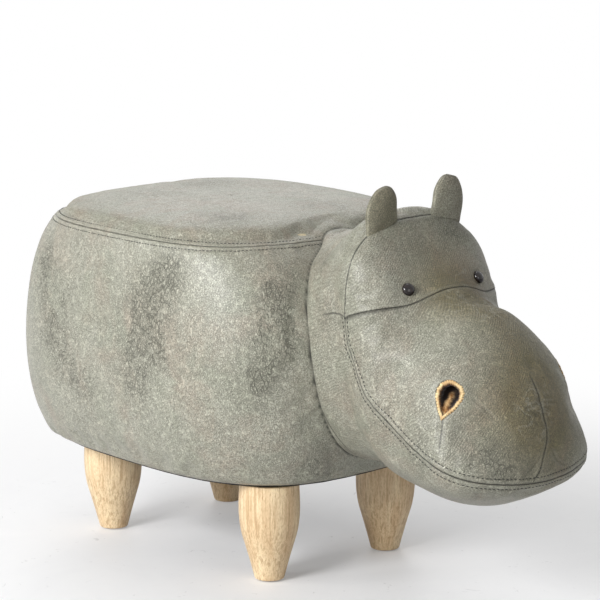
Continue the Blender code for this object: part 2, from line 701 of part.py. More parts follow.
# Upholstery
def make_body_upholstery():
    """Seat and side covers, and the foam under them."""
    points, outward, seam_row = body_skin()
    covers = {"side_cover": slice(0, seam_row + 1), "seat_cover": slice(seam_row, None)}
    made = {}
    for name, rows in covers.items():
        bm = skin_bmesh((points[rows], outward[rows]))
        pull_borders_in(bm, SEAM_GAP / 2)
        thicken(bm, COVER)
        made[name] = add_object(name, bm, HIDE)

    sunk = points - outward * (COVER + SOFT_GAP)
    foam_bottom = BASE_BOTTOM_Z
    lower, upper = split_rows(sunk[1:], SEAT_BOARD_TOP_Z - SOFT_GAP / 2, SEAT_BOARD_TOP_Z + SOFT_GAP / 2)
    side = split_rows(lower, foam_bottom, foam_bottom)[1]
    inner_rings = (
        (BASE_HALF_LENGTH + SOFT_GAP, BASE_HALF_WIDTH + SOFT_GAP, foam_bottom),
        (BASE_HALF_LENGTH + SOFT_GAP, BASE_HALF_WIDTH + SOFT_GAP, BASE_TOP_Z + SOFT_GAP),
        (WRAP_HALF_LENGTH + SOFT_GAP, WRAP_HALF_WIDTH + SOFT_GAP, BASE_TOP_Z + SOFT_GAP),
        (WRAP_HALF_LENGTH + SOFT_GAP, WRAP_HALF_WIDTH + SOFT_GAP, SEAT_BOARD_TOP_Z - SOFT_GAP / 2),
    )
    inner = [ring_at(length, width, height) for length, width, height in inner_rings]
    loop = np.concatenate([np.array(inner), side[::-1], np.array(inner[:1])])
    made["side_foam"] = add_object("side_foam", skin_bmesh((loop, np.zeros_like(loop))), FOAM)

    middle = np.broadcast_to([BODY_X, 0.0, SEAT_BOARD_TOP_Z + SOFT_GAP / 2], upper[:1].shape)
    closed = np.concatenate([middle, upper])
    made["seat_foam"] = add_object("seat_foam", skin_bmesh((closed, np.zeros_like(closed))), FOAM)
    return made


def split_rows(rows, below, above):
    """Split a skin's rows at a height, into the rows up to one height and the rows from another."""
    cuts = []
    for height in (below, above):
        row = int(np.argmax(rows[:, 0, 2] > height))
        share = (height - rows[row - 1, :, 2]) / (rows[row, :, 2] - rows[row - 1, :, 2])
        cuts.append((row, rows[row - 1] + (rows[row] - rows[row - 1]) * share[:, None]))
    (low_row, low_ring), (high_row, high_ring) = cuts
    return np.concatenate([rows[:low_row], [low_ring]]), np.concatenate([[high_ring], rows[high_row:]])


def ring_at(half_length, half_width, height):
    """A closed oval ring of points, its first point repeated."""
    ring = oval_points(half_length, half_width)
    ring = np.concatenate([ring, ring[:1]])
    return np.column_stack([ring, np.full(len(ring), height)])


def make_head_upholstery():
    """The head's three covers and the stuffing that fills them."""
    neck, jaw, forehead, muzzle = head_patches()
    panels = {"neck_and_jaw_cover": (neck, jaw), "forehead_cover": (forehead,), "muzzle_cover": (muzzle,)}
    made = {}
    for name, patches in panels.items():
        bm = skin_bmesh(*patches)
        pull_borders_in(bm, SEAM_GAP / 2)
        thicken(bm, COVER)
        made[name] = add_object(name, bm, HIDE)

    bm = skin_bmesh(neck, jaw, forehead, muzzle)
    sink(bm, COVER + SOFT_GAP)
    border = [edge for edge in bm.edges if edge.is_boundary]
    fan = bmesh.ops.extrude_edge_only(bm, edges=border)["geom"]
    middle = [item for item in fan if isinstance(item, bmesh.types.BMVert)]
    bmesh.ops.pointmerge(bm, verts=middle, merge_co=(BODY_X + BODY_HALF_LENGTH / 2, 0.0, GIRTH_Z))
    made["head_stuffing"] = add_object("head_stuffing", bm, FIBRE)

    points, outward, _ = body_skin()
    grown = points + outward * BACK_GAP
    middle = np.broadcast_to([BODY_X, 0.0, BODY_BOTTOM_Z - BACK_GAP], grown[:1].shape)
    closed = np.concatenate([middle, grown])
    body = add_object("cut_body", skin_bmesh((closed, np.zeros_like(closed))), None, CUTTERS)
    cut(made["neck_and_jaw_cover"], body)
    cut(made["head_stuffing"], body)
    return made


# Carcass
def make_carcass():
    """Boards, posts, hardboard wrap and the keel."""
    made = {
        "base_board": oval_board(
            "base_board", BASE_HALF_LENGTH, BASE_HALF_WIDTH, BASE_BOTTOM_Z, BASE_TOP_Z, PLYWOOD
        ),
        "seat_board": oval_board(
            "seat_board", WRAP_HALF_LENGTH, WRAP_HALF_WIDTH, SEAT_BOARD_BOTTOM_Z, SEAT_BOARD_TOP_Z, PLYWOOD
        ),
    }
    dust_length = BODY_HALF_LENGTH - BOTTOM_INSET - DUST_SETBACK
    dust_width = BODY_HALF_WIDTH - BOTTOM_INSET - DUST_SETBACK
    dust_top = BODY_BOTTOM_Z - FIT_GAP
    made["dust_cover"] = oval_board(
        "dust_cover", dust_length, dust_width, dust_top - DUST_COVER, dust_top, NONWOVEN
    )
    low, high = BASE_TOP_Z + FIT_GAP, SEAT_BOARD_BOTTOM_Z - FIT_GAP
    inner_length, inner_width = WRAP_HALF_LENGTH - WRAP_WALL, WRAP_HALF_WIDTH - WRAP_WALL
    rings = [
        ring_at(WRAP_HALF_LENGTH, WRAP_HALF_WIDTH, low),
        ring_at(WRAP_HALF_LENGTH, WRAP_HALF_WIDTH, high),
        ring_at(inner_length, inner_width, high),
        ring_at(inner_length, inner_width, low),
        ring_at(WRAP_HALF_LENGTH, WRAP_HALF_WIDTH, low),
    ]
    wall = np.array(rings)
    bm = skin_bmesh((wall, np.zeros_like(wall)))
    made["barrel_wrap"] = add_object("barrel_wrap", bm, HARDBOARD, smooth=False)
    for end, along in ENDS.items():
        for side, across in SIDES.items():
            x, y = BODY_X + along * POST_X, across * POST_Y
            half = POST_SIDE / 2
            name = f"frame_post_{end}_{side}"
            made[name] = box(name, (x - half, y - half, low), (x + half, y + half, high), SOFTWOOD)
    made["head_keel_board"] = make_keel(low, high)
    return made


def make_keel(low, high):
    """The upright plywood profile between the boards, with a tongue that reaches into the head."""
    outline = (
        (KEEL_BACK_X, low),
        (KEEL_FRONT_X, low),
        (KEEL_FRONT_X, TONGUE_LOW_Z),
        (TONGUE_TIP_X - TONGUE_TIP_DROP, TONGUE_LOW_Z),
        (TONGUE_TIP_X, TONGUE_LOW_Z + TONGUE_TIP_DROP),
        (TONGUE_TIP_X, TONGUE_HIGH_Z - 2 * TONGUE_TIP_DROP),
        (TONGUE_TIP_X - 2 * TONGUE_TIP_DROP, TONGUE_HIGH_Z),
        (KEEL_FRONT_X, TONGUE_HIGH_Z),
        (KEEL_FRONT_X, high),
        (KEEL_BACK_X, high),
    )
    outline = [(x, -KEEL_WALL / 2, z) for x, z in outline]
    return plate("head_keel_board", outline, (0.0, KEEL_WALL, 0.0), PLYWOOD)


def cut_keel_slots(body, head, carcass):
    """Slots for the keel's tongue through the wrap, the side foam, the side cover and the stuffing."""
    half = KEEL_WALL / 2 + FIT_GAP
    body_low = (KEEL_FRONT_X - CUT_OVERRUN, -half, TONGUE_LOW_Z - FIT_GAP)
    body_high = (TONGUE_TIP_X, half, TONGUE_HIGH_Z + FIT_GAP)
    slot = box("cut_tongue_slot", body_low, body_high, None, CUTTERS)
    cut(carcass["barrel_wrap"], slot)
    cut(body["side_foam"], slot)
    cut(body["side_cover"], slot)
    head_low = (HEAD_BACK_X, -half, TONGUE_LOW_Z - FIT_GAP)
    head_high = (TONGUE_TIP_X + FIT_GAP, half, TONGUE_HIGH_Z + FIT_GAP)
    cut(head["head_stuffing"], box("cut_tongue_pocket", head_low, head_high, None, CUTTERS))


# Screws
def screw_profile(extra=0.0):
    """Outline of a countersunk wood screw, head up, or of its hole with an extra gap round it."""
    shank = SCREW_RADIUS + extra
    return (
        (0.0, extra),
        (SCREW_HEAD_RADIUS + extra, extra),
        (SCREW_HEAD_RADIUS + extra, -SCREW_HEAD_RIM - extra / 2),
        (shank, -SCREW_HEAD - extra / 2),
        (shank, -SCREW_LENGTH + SCREW_TIP - extra),
        (0.0, -SCREW_LENGTH - 2 * extra),
    )


def drive_screw(name, x, y, z, flip, pieces):
    """A screw with its head at a height, pointing up when flipped, and its holes in the pieces it joins."""
    place = Matrix.Translation((x, y, z))
    if flip:
        place = place @ Matrix.Rotation(math.pi, 4, "X")
    turned(name, screw_profile(), SCREW_STEPS, STEEL, place)
    hole = turned(f"cut_{name}", screw_profile(FIT_GAP), SCREW_STEPS, None, place, CUTTERS)
    for piece in pieces:
        cut(piece, hole)


def make_screws(carcass):
    """Screws up through the base board and down through the seat board, into the posts and the keel."""
    base, seat = carcass["base_board"], carcass["seat_board"]
    for end, along in ENDS.items():
        for side, across in SIDES.items():
            x, y = BODY_X + along * POST_X, across * POST_Y
            post = carcass[f"frame_post_{end}_{side}"]
            drive_screw(f"base_screw_{end}_{side}", x, y, BASE_BOTTOM_Z, True, (base, post))
            drive_screw(f"seat_screw_{end}_{side}", x, y, SEAT_BOARD_TOP_Z, False, (seat, post))
    keel_x = (KEEL_BACK_X + KEEL_FRONT_X) / 2
    drive_screw("base_screw_keel", keel_x, 0.0, BASE_BOTTOM_Z, True, (base, carcass["head_keel_board"]))
    drive_screw("seat_screw_keel", keel_x, 0.0, SEAT_BOARD_TOP_Z, False, (seat, carcass["head_keel_board"]))


# Legs
def make_legs(carcass):
    """Four turned legs, each with a hanger bolt, a tee nut in the base board and a felt pad."""
    foot = FOOT_PAD_PROUD
    height = LEG_TOP_Z - foot
    side = [
        (LEG_RADIUS * radius, foot + height * share)
        for share, radius in zip(LEG_HEIGHT_SHARES, LEG_RADIUS_SHARES)
    ]
    hole = BOLT_RADIUS + FIT_GAP
    hole_bottom = LEG_TOP_Z - BOLT_IN_LEG - FIT_GAP
    recess = FOOT_PAD_RADIUS + FIT_GAP
    recess_top = FOOT_PAD + FIT_GAP
    bore_in_leg = [(0.0, hole_bottom), (hole, hole_bottom), (hole, LEG_TOP_Z)]
    leg = [*bore_in_leg, *side, (recess, foot), (recess, recess_top), (0.0, recess_top)]
    nut_top = BASE_TOP_Z
    bolt_top = nut_top - FIT_GAP
    bolt = [(0.0, bolt_top), (BOLT_RADIUS, bolt_top), (BOLT_RADIUS, LEG_TOP_Z - BOLT_IN_LEG)]
    bolt.append((0.0, LEG_TOP_Z - BOLT_IN_LEG))
    nut_bottom = nut_top - NUT_FLANGE - NUT_BARREL
    nut = [
        (hole, nut_bottom),
        (hole, nut_top),
        (NUT_FLANGE_RADIUS, nut_top),
        (NUT_FLANGE_RADIUS, nut_top - NUT_FLANGE),
        (NUT_BARREL_RADIUS, nut_top - NUT_FLANGE),
        (NUT_BARREL_RADIUS, nut_bottom),
        (hole, nut_bottom),
    ]
    pad = [(0.0, FOOT_PAD), (FOOT_PAD_RADIUS, FOOT_PAD), (FOOT_PAD_RADIUS, 0.0), (0.0, 0.0)]
    bore = [
        (0.0, nut_top + CUT_OVERRUN),
        (NUT_FLANGE_RADIUS + FIT_GAP, nut_top + CUT_OVERRUN),
        (NUT_FLANGE_RADIUS + FIT_GAP, nut_top - NUT_FLANGE - FIT_GAP),
        (NUT_BARREL_RADIUS + FIT_GAP, nut_top - NUT_FLANGE - FIT_GAP),
        (NUT_BARREL_RADIUS + FIT_GAP, LEG_TOP_Z - CUT_OVERRUN),
        (0.0, LEG_TOP_Z - CUT_OVERRUN),
    ]
    for end, along in ENDS.items():
        for name, across in SIDES.items():
            corner = f"{end}_{name}"
            place = Matrix.Translation((along * LEG_X, across * LEG_Y, 0.0))
            turned(f"leg_{corner}", leg, LEG_STEPS, TURNED_WOOD, place)
            turned(f"hanger_bolt_{corner}", bolt, BOLT_STEPS, STEEL, place)
            turned(f"tee_nut_{corner}", nut, BOLT_STEPS, STEEL, place)
            turned(f"foot_pad_{corner}", pad, BOLT_STEPS, FELT, place)
            cutter = turned(f"cut_bore_{corner}", bore, BOLT_STEPS, None, place, CUTTERS)
            cut(carcass["base_board"], cutter)
            cut(carcass["dust_cover"], cutter)


# Eyes
def facing(point, outward):
    """A placement at a point with its Z axis along the outward direction."""
    return Matrix.Translation(Vector(point)) @ Vector(outward).to_track_quat("Z", "Y").to_matrix().to_4x4()


def make_eyes(head):
    """Domed safety eyes whose stems pass through the forehead cover into a lock washer."""
    quarter = np.linspace(0.0, math.pi / 2, EYE_DOME_STEPS + 1)
    seat = EYE_LIFT
    dome = [(EYE_RADIUS * math.sin(turn), seat + EYE_RIM + EYE_DOME * math.cos(turn)) for turn in quarter]
    eye = [
        *dome,
        (EYE_RADIUS, seat),
        (EYE_STEM_RADIUS, seat),
        (EYE_STEM_RADIUS, -EYE_STEM),
        (0.0, -EYE_STEM),
    ]
    hole = EYE_STEM_RADIUS + FIT_GAP
    washer_top = -COVER - EYE_LIFT
    washer_bottom = washer_top - WASHER_WALL
    washer = [
        (hole, washer_bottom),
        (hole, washer_top),
        (WASHER_RADIUS, washer_top),
        (WASHER_RADIUS, washer_bottom),
        (hole, washer_bottom),
    ]
    stem_hole = [(0.0, CUT_OVERRUN), (hole, CUT_OVERRUN), (hole, -2 * EYE_STEM), (0.0, -2 * EYE_STEM)]
    pocket = [
        (0.0, CUT_OVERRUN),
        (WASHER_RADIUS + FIT_GAP, CUT_OVERRUN),
        (WASHER_RADIUS + FIT_GAP, washer_bottom - FIT_GAP),
        (hole, washer_bottom - FIT_GAP),
        (hole, -EYE_STEM - FIT_GAP),
        (0.0, -EYE_STEM - FIT_GAP),
    ]
    for side, across in SIDES.items():
        angle = EYE_ANGLE if across > 0 else mirrored(EYE_ANGLE)
        place = facing(head_point(EYE_X, angle), head_outward(EYE_X, angle))
        turned(f"eye_{side}", eye, EYE_STEPS, EYE_BLACK, place)
        turned(f"eye_washer_{side}", washer, EYE_STEPS, WASHER_WHITE, place)
        hole_cutter = turned(f"cut_eye_hole_{side}", stem_hole, EYE_STEPS, None, place, CUTTERS)
        pocket_cutter = turned(f"cut_eye_pocket_{side}", pocket, EYE_STEPS, None, place, CUTTERS)
        cut(head["forehead_cover"], hole_cutter)
        cut(head["head_stuffing"], pocket_cutter)


# Nostrils
def place_on_head(flat, x, angle):
    """Places on the head that lie over points of its tangent plane at a spot, found by Newton's steps."""
    centre, normal = head_point(x, angle), head_outward(x, angle)
    up = np.array([0.0, 0.0, 1.0]) - normal * normal[2]
    up /= np.linalg.norm(up)
    frame = np.stack([np.cross(up, normal), up])
    at = np.broadcast_to([x, angle], flat.shape).copy()
    step_x = HEAD_LENGTH * SEARCH_STEP
    for _ in range(SEARCH_ROUNDS):
        here = (head_point(at[:, 0], at[:, 1]) - centre) @ frame.T
        by_x = (head_point(at[:, 0] + step_x, at[:, 1]) - centre) @ frame.T - here
        by_angle = (head_point(at[:, 0], at[:, 1] + SEARCH_STEP) - centre) @ frame.T - here
        slope = np.stack([by_x / step_x, by_angle / SEARCH_STEP], axis=-1)
        at += np.linalg.solve(slope, (flat - here)[..., None])[..., 0]
    return at


def nostril_ring(across, growth, depth):
    """A teardrop ring on the muzzle, grown by a margin all round and sunk straight into the head."""
    turn = np.linspace(0.0, math.tau, NOSTRIL_STEPS, endpoint=False)
    aside = np.sin(turn) * np.abs(np.sin(turn / 2)) ** NOSTRIL_POINTEDNESS
    aside = aside / aside.max() * (NOSTRIL_WIDTH / 2 + growth)
    up = -np.cos(turn) * (NOSTRIL_HEIGHT / 2 + growth)
    cosine, sine = math.cos(NOSTRIL_LEAN), math.sin(NOSTRIL_LEAN)
    lean = np.array([[cosine, sine], [-sine, cosine]])
    at = place_on_head(np.column_stack([aside, up]) @ lean, NOSTRIL_X, NOSTRIL_ANGLE)
    points = head_point(at[:, 0], at[:, 1]) - head_outward(NOSTRIL_X, NOSTRIL_ANGLE) * depth
    if across < 0:
        points = points[::-1] * (1.0, -1.0, 1.0)
    return np.concatenate([points, points[:1]])


def closed_rings(rings):
    """A surface through rings, closed at both ends by a fan to the middle of the ring."""
    first, last = (np.broadcast_to(ring[:-1].mean(axis=0), ring.shape) for ring in (rings[0], rings[-1]))
    loop = np.array([first, *rings, last])
    return skin_bmesh((loop, np.zeros_like(loop)))


def make_nostrils(head):
    """A suede pocket in each nostril, and the opening for it in the muzzle cover and the stuffing."""
    half = NOSTRIL_WIDTH / 2
    lip, floor = half * (1.0 - LINING_LIP_SHARE), half * (1.0 - LINING_FLOOR_SHARE)
    rows = ((0.0, 0.0), (lip, LINING_LIP_DEPTH), (floor, LINING_DEPTH))
    for side, across in SIDES.items():
        inner = [nostril_ring(across, -inset - LINING_WALL, depth) for inset, depth in rows]
        outer = [nostril_ring(across, -inset, depth + LINING_WALL * bool(depth)) for inset, depth in rows]
        add_object(f"nostril_lining_{side}", closed_rings([*inner[::-1], *outer]), LINING)
        deep = LINING_DEPTH + LINING_WALL + SOFT_GAP
        rings = [nostril_ring(across, SOFT_GAP, depth) for depth in (-CUT_OVERRUN, deep)]
        cutter = add_object(f"cut_nostril_{side}", closed_rings(rings), None, CUTTERS)
        cut(head["muzzle_cover"], cutter)
        cut(head["head_stuffing"], cutter)


# Ears
def ear_ring(across, share, inset):
    """One ring of an ear's skin, or of a skin drawn in from it, at a share of its height."""
    turn = np.linspace(0.0, math.tau, EAR_COLUMNS, endpoint=False)
    angle = EAR_ANGLE + EAR_ANGLE_SPAN * np.cos(turn)
    seam = face_seam_x(angle)
    foot = head_point(seam + EAR_HALF_THICKNESS * np.sin(turn), angle)
    foot = foot + head_outward(seam, angle) * SOFT_GAP
    base = foot.mean(axis=0)
    wide = foot[0] - foot[EAR_COLUMNS // 2]
    wide = wide / np.linalg.norm(wide)
    rise = np.array(EAR_TIP) - base
    height = np.linalg.norm(rise)
    rise = rise / height
    thick = np.cross(rise, wide)
    thick = thick * math.copysign(1.0, thick[0])
    left = max(1.0 - share**EAR_FLATNESS, 0.0) ** (1.0 / EAR_FLATNESS)
    flare = 1.0 + EAR_FLARE_SHARE * math.sin(math.pi * share)
    across_size = (EAR_HALF_WIDTH - inset) * left * flare
    through_size = (EAR_HALF_THICKNESS - inset) * left
    cosine, sine = np.cos(turn)[:, None], np.sin(turn)[:, None]
    ring = base + rise * (height - inset) * share + wide * across_size * cosine + thick * through_size * sine
    plain = base + wide * EAR_HALF_WIDTH * cosine + thick * EAR_HALF_THICKNESS * sine
    ring = ring + (foot - plain) * (1.0 - share) ** 3
    if across < 0:
        ring = ring[::-1] * (1.0, -1.0, 1.0)
    return np.concatenate([ring, ring[:1]])


def ear_sole(across, share):
    """One ring of the ear foam's foot, lying on the head at a share of the way out from its middle."""
    turn = np.linspace(0.0, math.tau, EAR_COLUMNS, endpoint=False)
    angle = EAR_ANGLE + EAR_ANGLE_SPAN * share * np.cos(turn)
    place = face_seam_x(angle) + (EAR_HALF_THICKNESS - EAR_WALL) * share * np.sin(turn)
    ring = head_point(place, angle) + head_outward(place, angle) * (SOFT_GAP + EAR_WALL)
    if across < 0:
        ring = ring[::-1] * (1.0, -1.0, 1.0)
    return np.concatenate([ring, ring[:1]])


def make_ears():
    """Each ear is a sewn pocket of the cover material, open at its foot, over a foam slip."""
    for side, across in SIDES.items():
        outer = [ear_ring(across, share, 0.0) for share in EAR_ROW_SHARES]
        inner = [ear_ring(across, share, EAR_WALL) for share in EAR_ROW_SHARES]
        loop = np.array([*outer[::-1], *inner])
        add_object(f"ear_cover_{side}", skin_bmesh((loop, np.zeros_like(loop))), HIDE)
        slip = [ear_ring(across, share, EAR_WALL + SOFT_GAP) for share in EAR_ROW_SHARES]
        sole = [ear_sole(across, share) for share in EAR_SOLE_SHARES]
        loop = np.array([*sole, *slip])
        add_object(f"ear_foam_{side}", skin_bmesh((loop, np.zeros_like(loop))), FOAM)


def centre_on_length():
    """Shift the stool so that the origin is under the middle of its overall length."""
    bpy.context.view_layer.update()
    graph = bpy.context.evaluated_depsgraph_get()
    ends = []
    for name in ("side_cover", "muzzle_cover", "neck_and_jaw_cover"):
        mesh = bpy.data.objects[name].evaluated_get(graph).to_mesh()
        ends += [vertex.co.x for vertex in mesh.vertices]
    ROOT.location.x = -(min(ends) + max(ends)) / 2


def main():
    """Build the stool."""
    carcass = make_carcass()
    body = make_body_upholstery()
    head = make_head_upholstery()
    cut_keel_slots(body, head, carcass)
    make_screws(carcass)
    make_legs(carcass)
    make_eyes(head)
    make_nostrils(head)
    make_ears()
    centre_on_length()


main()
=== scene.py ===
"""Dressed model of the hippo footstool.

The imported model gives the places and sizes. This script sews covers with real seams, puckers and stitches
over it, and makes the ears, eyes, suede nostrils, turned legs, the underside and the studio.
Along X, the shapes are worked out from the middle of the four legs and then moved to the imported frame.
"""

import json
import logging
import math
from collections import Counter
from dataclasses import dataclass, field
from enum import Enum
from typing import Callable, Optional, Sequence, Union

import bmesh
import bpy
import numpy as np
from mathutils import Matrix, Vector
from mathutils.kdtree import KDTree


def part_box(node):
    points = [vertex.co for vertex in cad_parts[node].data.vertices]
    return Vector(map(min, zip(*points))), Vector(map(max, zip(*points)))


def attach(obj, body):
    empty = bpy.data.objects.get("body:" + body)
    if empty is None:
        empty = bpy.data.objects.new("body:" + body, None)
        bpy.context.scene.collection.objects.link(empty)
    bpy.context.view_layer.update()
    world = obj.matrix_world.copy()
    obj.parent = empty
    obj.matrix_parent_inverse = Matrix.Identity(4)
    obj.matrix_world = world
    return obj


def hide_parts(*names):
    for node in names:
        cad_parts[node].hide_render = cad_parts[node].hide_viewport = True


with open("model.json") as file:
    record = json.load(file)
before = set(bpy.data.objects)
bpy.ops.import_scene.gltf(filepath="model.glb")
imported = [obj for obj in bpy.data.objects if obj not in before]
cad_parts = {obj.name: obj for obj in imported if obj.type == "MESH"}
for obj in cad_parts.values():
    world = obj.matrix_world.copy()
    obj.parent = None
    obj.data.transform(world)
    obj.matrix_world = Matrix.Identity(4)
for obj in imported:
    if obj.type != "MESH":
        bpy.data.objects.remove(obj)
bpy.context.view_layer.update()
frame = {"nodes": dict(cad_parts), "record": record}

LOG = logging.getLogger("hippo_footstool")
Array = np.ndarray
Colour = Place = tuple[float, float, float]
MM = 0.001
LEGS = tuple(f"leg_{end}_{side}" for end in ("front", "rear") for side in ("left", "right"))
SHIFT_X = sum(sum(corner.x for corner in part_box(leg)) / 2 for leg in LEGS) / len(LEGS)
UP = np.array([0.0, 0.0, 1.0])


# Shader maths
class Socket:
    """An output of a shader node. Python arithmetic on it adds Math nodes."""

    def __init__(self, graph: "Graph", socket: bpy.types.NodeSocket) -> None:
        """Keep the graph and the Blender socket."""
        self.graph = graph
        self.socket = socket

    def _math(self, operation: str, first: "Value", second: "Value" = 0.0) -> "Socket":
        """Add one Math node."""
        return self.graph.node("ShaderNodeMath", {"operation": operation}, {0: first, 1: second})

    def __add__(self, other: "Value") -> "Socket":
        """self + other."""
        return self._math("ADD", self, other)

    def __radd__(self, other: "Value") -> "Socket":
        """other + self."""
        return self._math("ADD", other, self)

    def __sub__(self, other: "Value") -> "Socket":
        """self - other."""
        return self._math("SUBTRACT", self, other)

    def __rsub__(self, other: "Value") -> "Socket":
        """other - self."""
        return self._math("SUBTRACT", other, self)

    def __mul__(self, other: "Value") -> "Socket":
        """self * other."""
        return self._math("MULTIPLY", self, other)

    def sine(self) -> "Socket":
        """Sine of the value."""
        return self._math("SINE", self)

    def smooth(self, low: float, high: float) -> "Socket":
        """A smooth step from 0 at low to 1 at high."""
        settings = {"interpolation_type": "SMOOTHSTEP"}
        return self.graph.node("ShaderNodeMapRange", settings, {0: self, 1: low, 2: high})


Value = Union[Socket, float, Sequence[float]]


class Graph:
    """The node tree of one material or of the world."""

    def __init__(
        self, owner: Union[bpy.types.Material, bpy.types.World], shader: str = "Principled BSDF",
        output: str = "Material Output",
    ) -> None:
        """Take up the owner's nodes."""
        owner.use_nodes = True
        self.tree = owner.node_tree
        self.shader = self.tree.nodes[shader]
        self.output = self.tree.nodes[output]

    def node(
        self, kind: str, settings: Optional[dict] = None, inputs: Optional[dict] = None,
        output: Union[int, str] = 0,
    ) -> Socket:
        """Add a node.

        Args:
            kind: The node's type.
            settings: Its properties, set first.
            inputs: Values or sockets by the name or number of the input.
            output: Name or number of the output to return.

        Returns:
            The chosen output.
        """
        made = self.tree.nodes.new(kind)
        for key, value in (settings or {}).items():
            setattr(made, key, value)
        for key, value in (inputs or {}).items():
            self.feed(made.inputs[key], value)
        return Socket(self, made.outputs[output])

    def feed(self, socket: bpy.types.NodeSocket, value: Value) -> None:
        """Link a socket or set its value."""
        if isinstance(value, Socket):
            self.tree.links.new(value.socket, socket)
        elif isinstance(value, (int, float)) or len(value) == len(socket.default_value):
            socket.default_value = value
        else:
            socket.default_value = (*value, 1.0)

    def set(self, **values: Value) -> None:
        """Feed the Principled shader's sockets, named with underscores for spaces."""
        for name, value in values.items():
            self.feed(self.shader.inputs[name.replace("_", " ")], value)

    def coordinates(self) -> Socket:
        """Object coordinates, in metres."""
        return self.node("ShaderNodeTexCoord", output="Object")

    def clamp(self, value: Value) -> Socket:
        """The value, kept between 0 and 1."""
        return self.node("ShaderNodeClamp", None, {0: value})

    def mapped(self, vector: Socket, scale: Sequence[float], turn: Sequence[float] = (0, 0, 0)) -> Socket:
        """Stretch and turn coordinates."""
        return self.node("ShaderNodeMapping", None, {"Vector": vector, "Scale": scale, "Rotation": turn})

    def noise(
        self, vector: Socket, scale: float, detail: float = 2.0, roughness: float = 0.5,
        distortion: float = 0.0, coloured: bool = False,
    ) -> Socket:
        """A noise of about 1 / scale metres."""
        inputs = {"Vector": vector, "Scale": scale, "Detail": detail, "Roughness": roughness}
        return self.node("ShaderNodeTexNoise", None, {**inputs, "Distortion": distortion}, int(coloured))

    def cells(self, vector: Socket, scale: float, feature: str = "DISTANCE_TO_EDGE") -> Socket:
        """Distance in a pattern of cells of about 1 / scale metres."""
        inputs = {"Vector": vector, "Scale": scale}
        return self.node("ShaderNodeTexVoronoi", {"feature": feature}, inputs, "Distance")

    def mix(self, share: Value, first: Value, second: Value, blend: str = "MIX") -> Socket:
        """Mix two colours."""
        settings = {"data_type": "RGBA", "blend_type": blend}
        return self.node("ShaderNodeMix", settings, {0: share, 6: first, 7: second}, 2)

    def vector_math(
        self, operation: str, first: Value, second: Value = (0.0, 0.0, 0.0), output: str = "Vector"
    ) -> Socket:
        """Add one Vector Math node. A scaling's second value is its factor."""
        key = "Scale" if operation == "SCALE" else 1
        return self.node("ShaderNodeVectorMath", {"operation": operation}, {0: first, key: second}, output)

    def warped(self, vector: Socket, scale: float, reach: float) -> Socket:
        """Coordinates pushed about by a noise."""
        push = self.vector_math("SUBTRACT", self.noise(vector, scale, coloured=True), (0.5, 0.5, 0.5))
        return self.vector_math("ADD", vector, self.vector_math("SCALE", push, reach))

    def along(self, vector: Socket, direction: Sequence[float]) -> Socket:
        """How far the coordinates lie along a direction."""
        return self.vector_math("DOT_PRODUCT", vector, direction, "Value")

    def near(self, vector: Socket, middle: Sequence[float], reach: float) -> Socket:
        """1 at a place, falling smoothly to 0 at a reach from it."""
        return 1.0 - self.vector_math("DISTANCE", vector, middle, "Value").smooth(0.0, reach)

    def attribute(self, name: str) -> Socket:
        """A value that the mesh keeps at its points."""
        return self.node("ShaderNodeAttribute", {"attribute_name": name}, None, "Fac")

    def bump(self, height: Value, depth: float, strength: float = 1.0) -> Socket:
        """A bump of a height from 0 to 1, in metres of depth."""
        return self.node("ShaderNodeBump", None, {"Height": height, "Distance": depth, "Strength": strength})


# Finishes
@dataclass(frozen=True)
class Finish:
    """A finish that paints a material on demand."""

    name: str
    slot: str

    def paint(self, graph: Graph) -> None:
        """Fill the graph. Each finish has its own."""
        raise NotImplementedError

    def material(self) -> bpy.types.Material:
        """The finish's material, made once."""
        if self.name not in bpy.data.materials:
            self.paint(Graph(bpy.data.materials.new(self.name)))
        return bpy.data.materials[self.name]


@dataclass(frozen=True)
class Blotch:
    """A worn area of the hide, darker and cracked, or a spot of painted warm shade."""

    place: Place
    reach: float
    strength: float


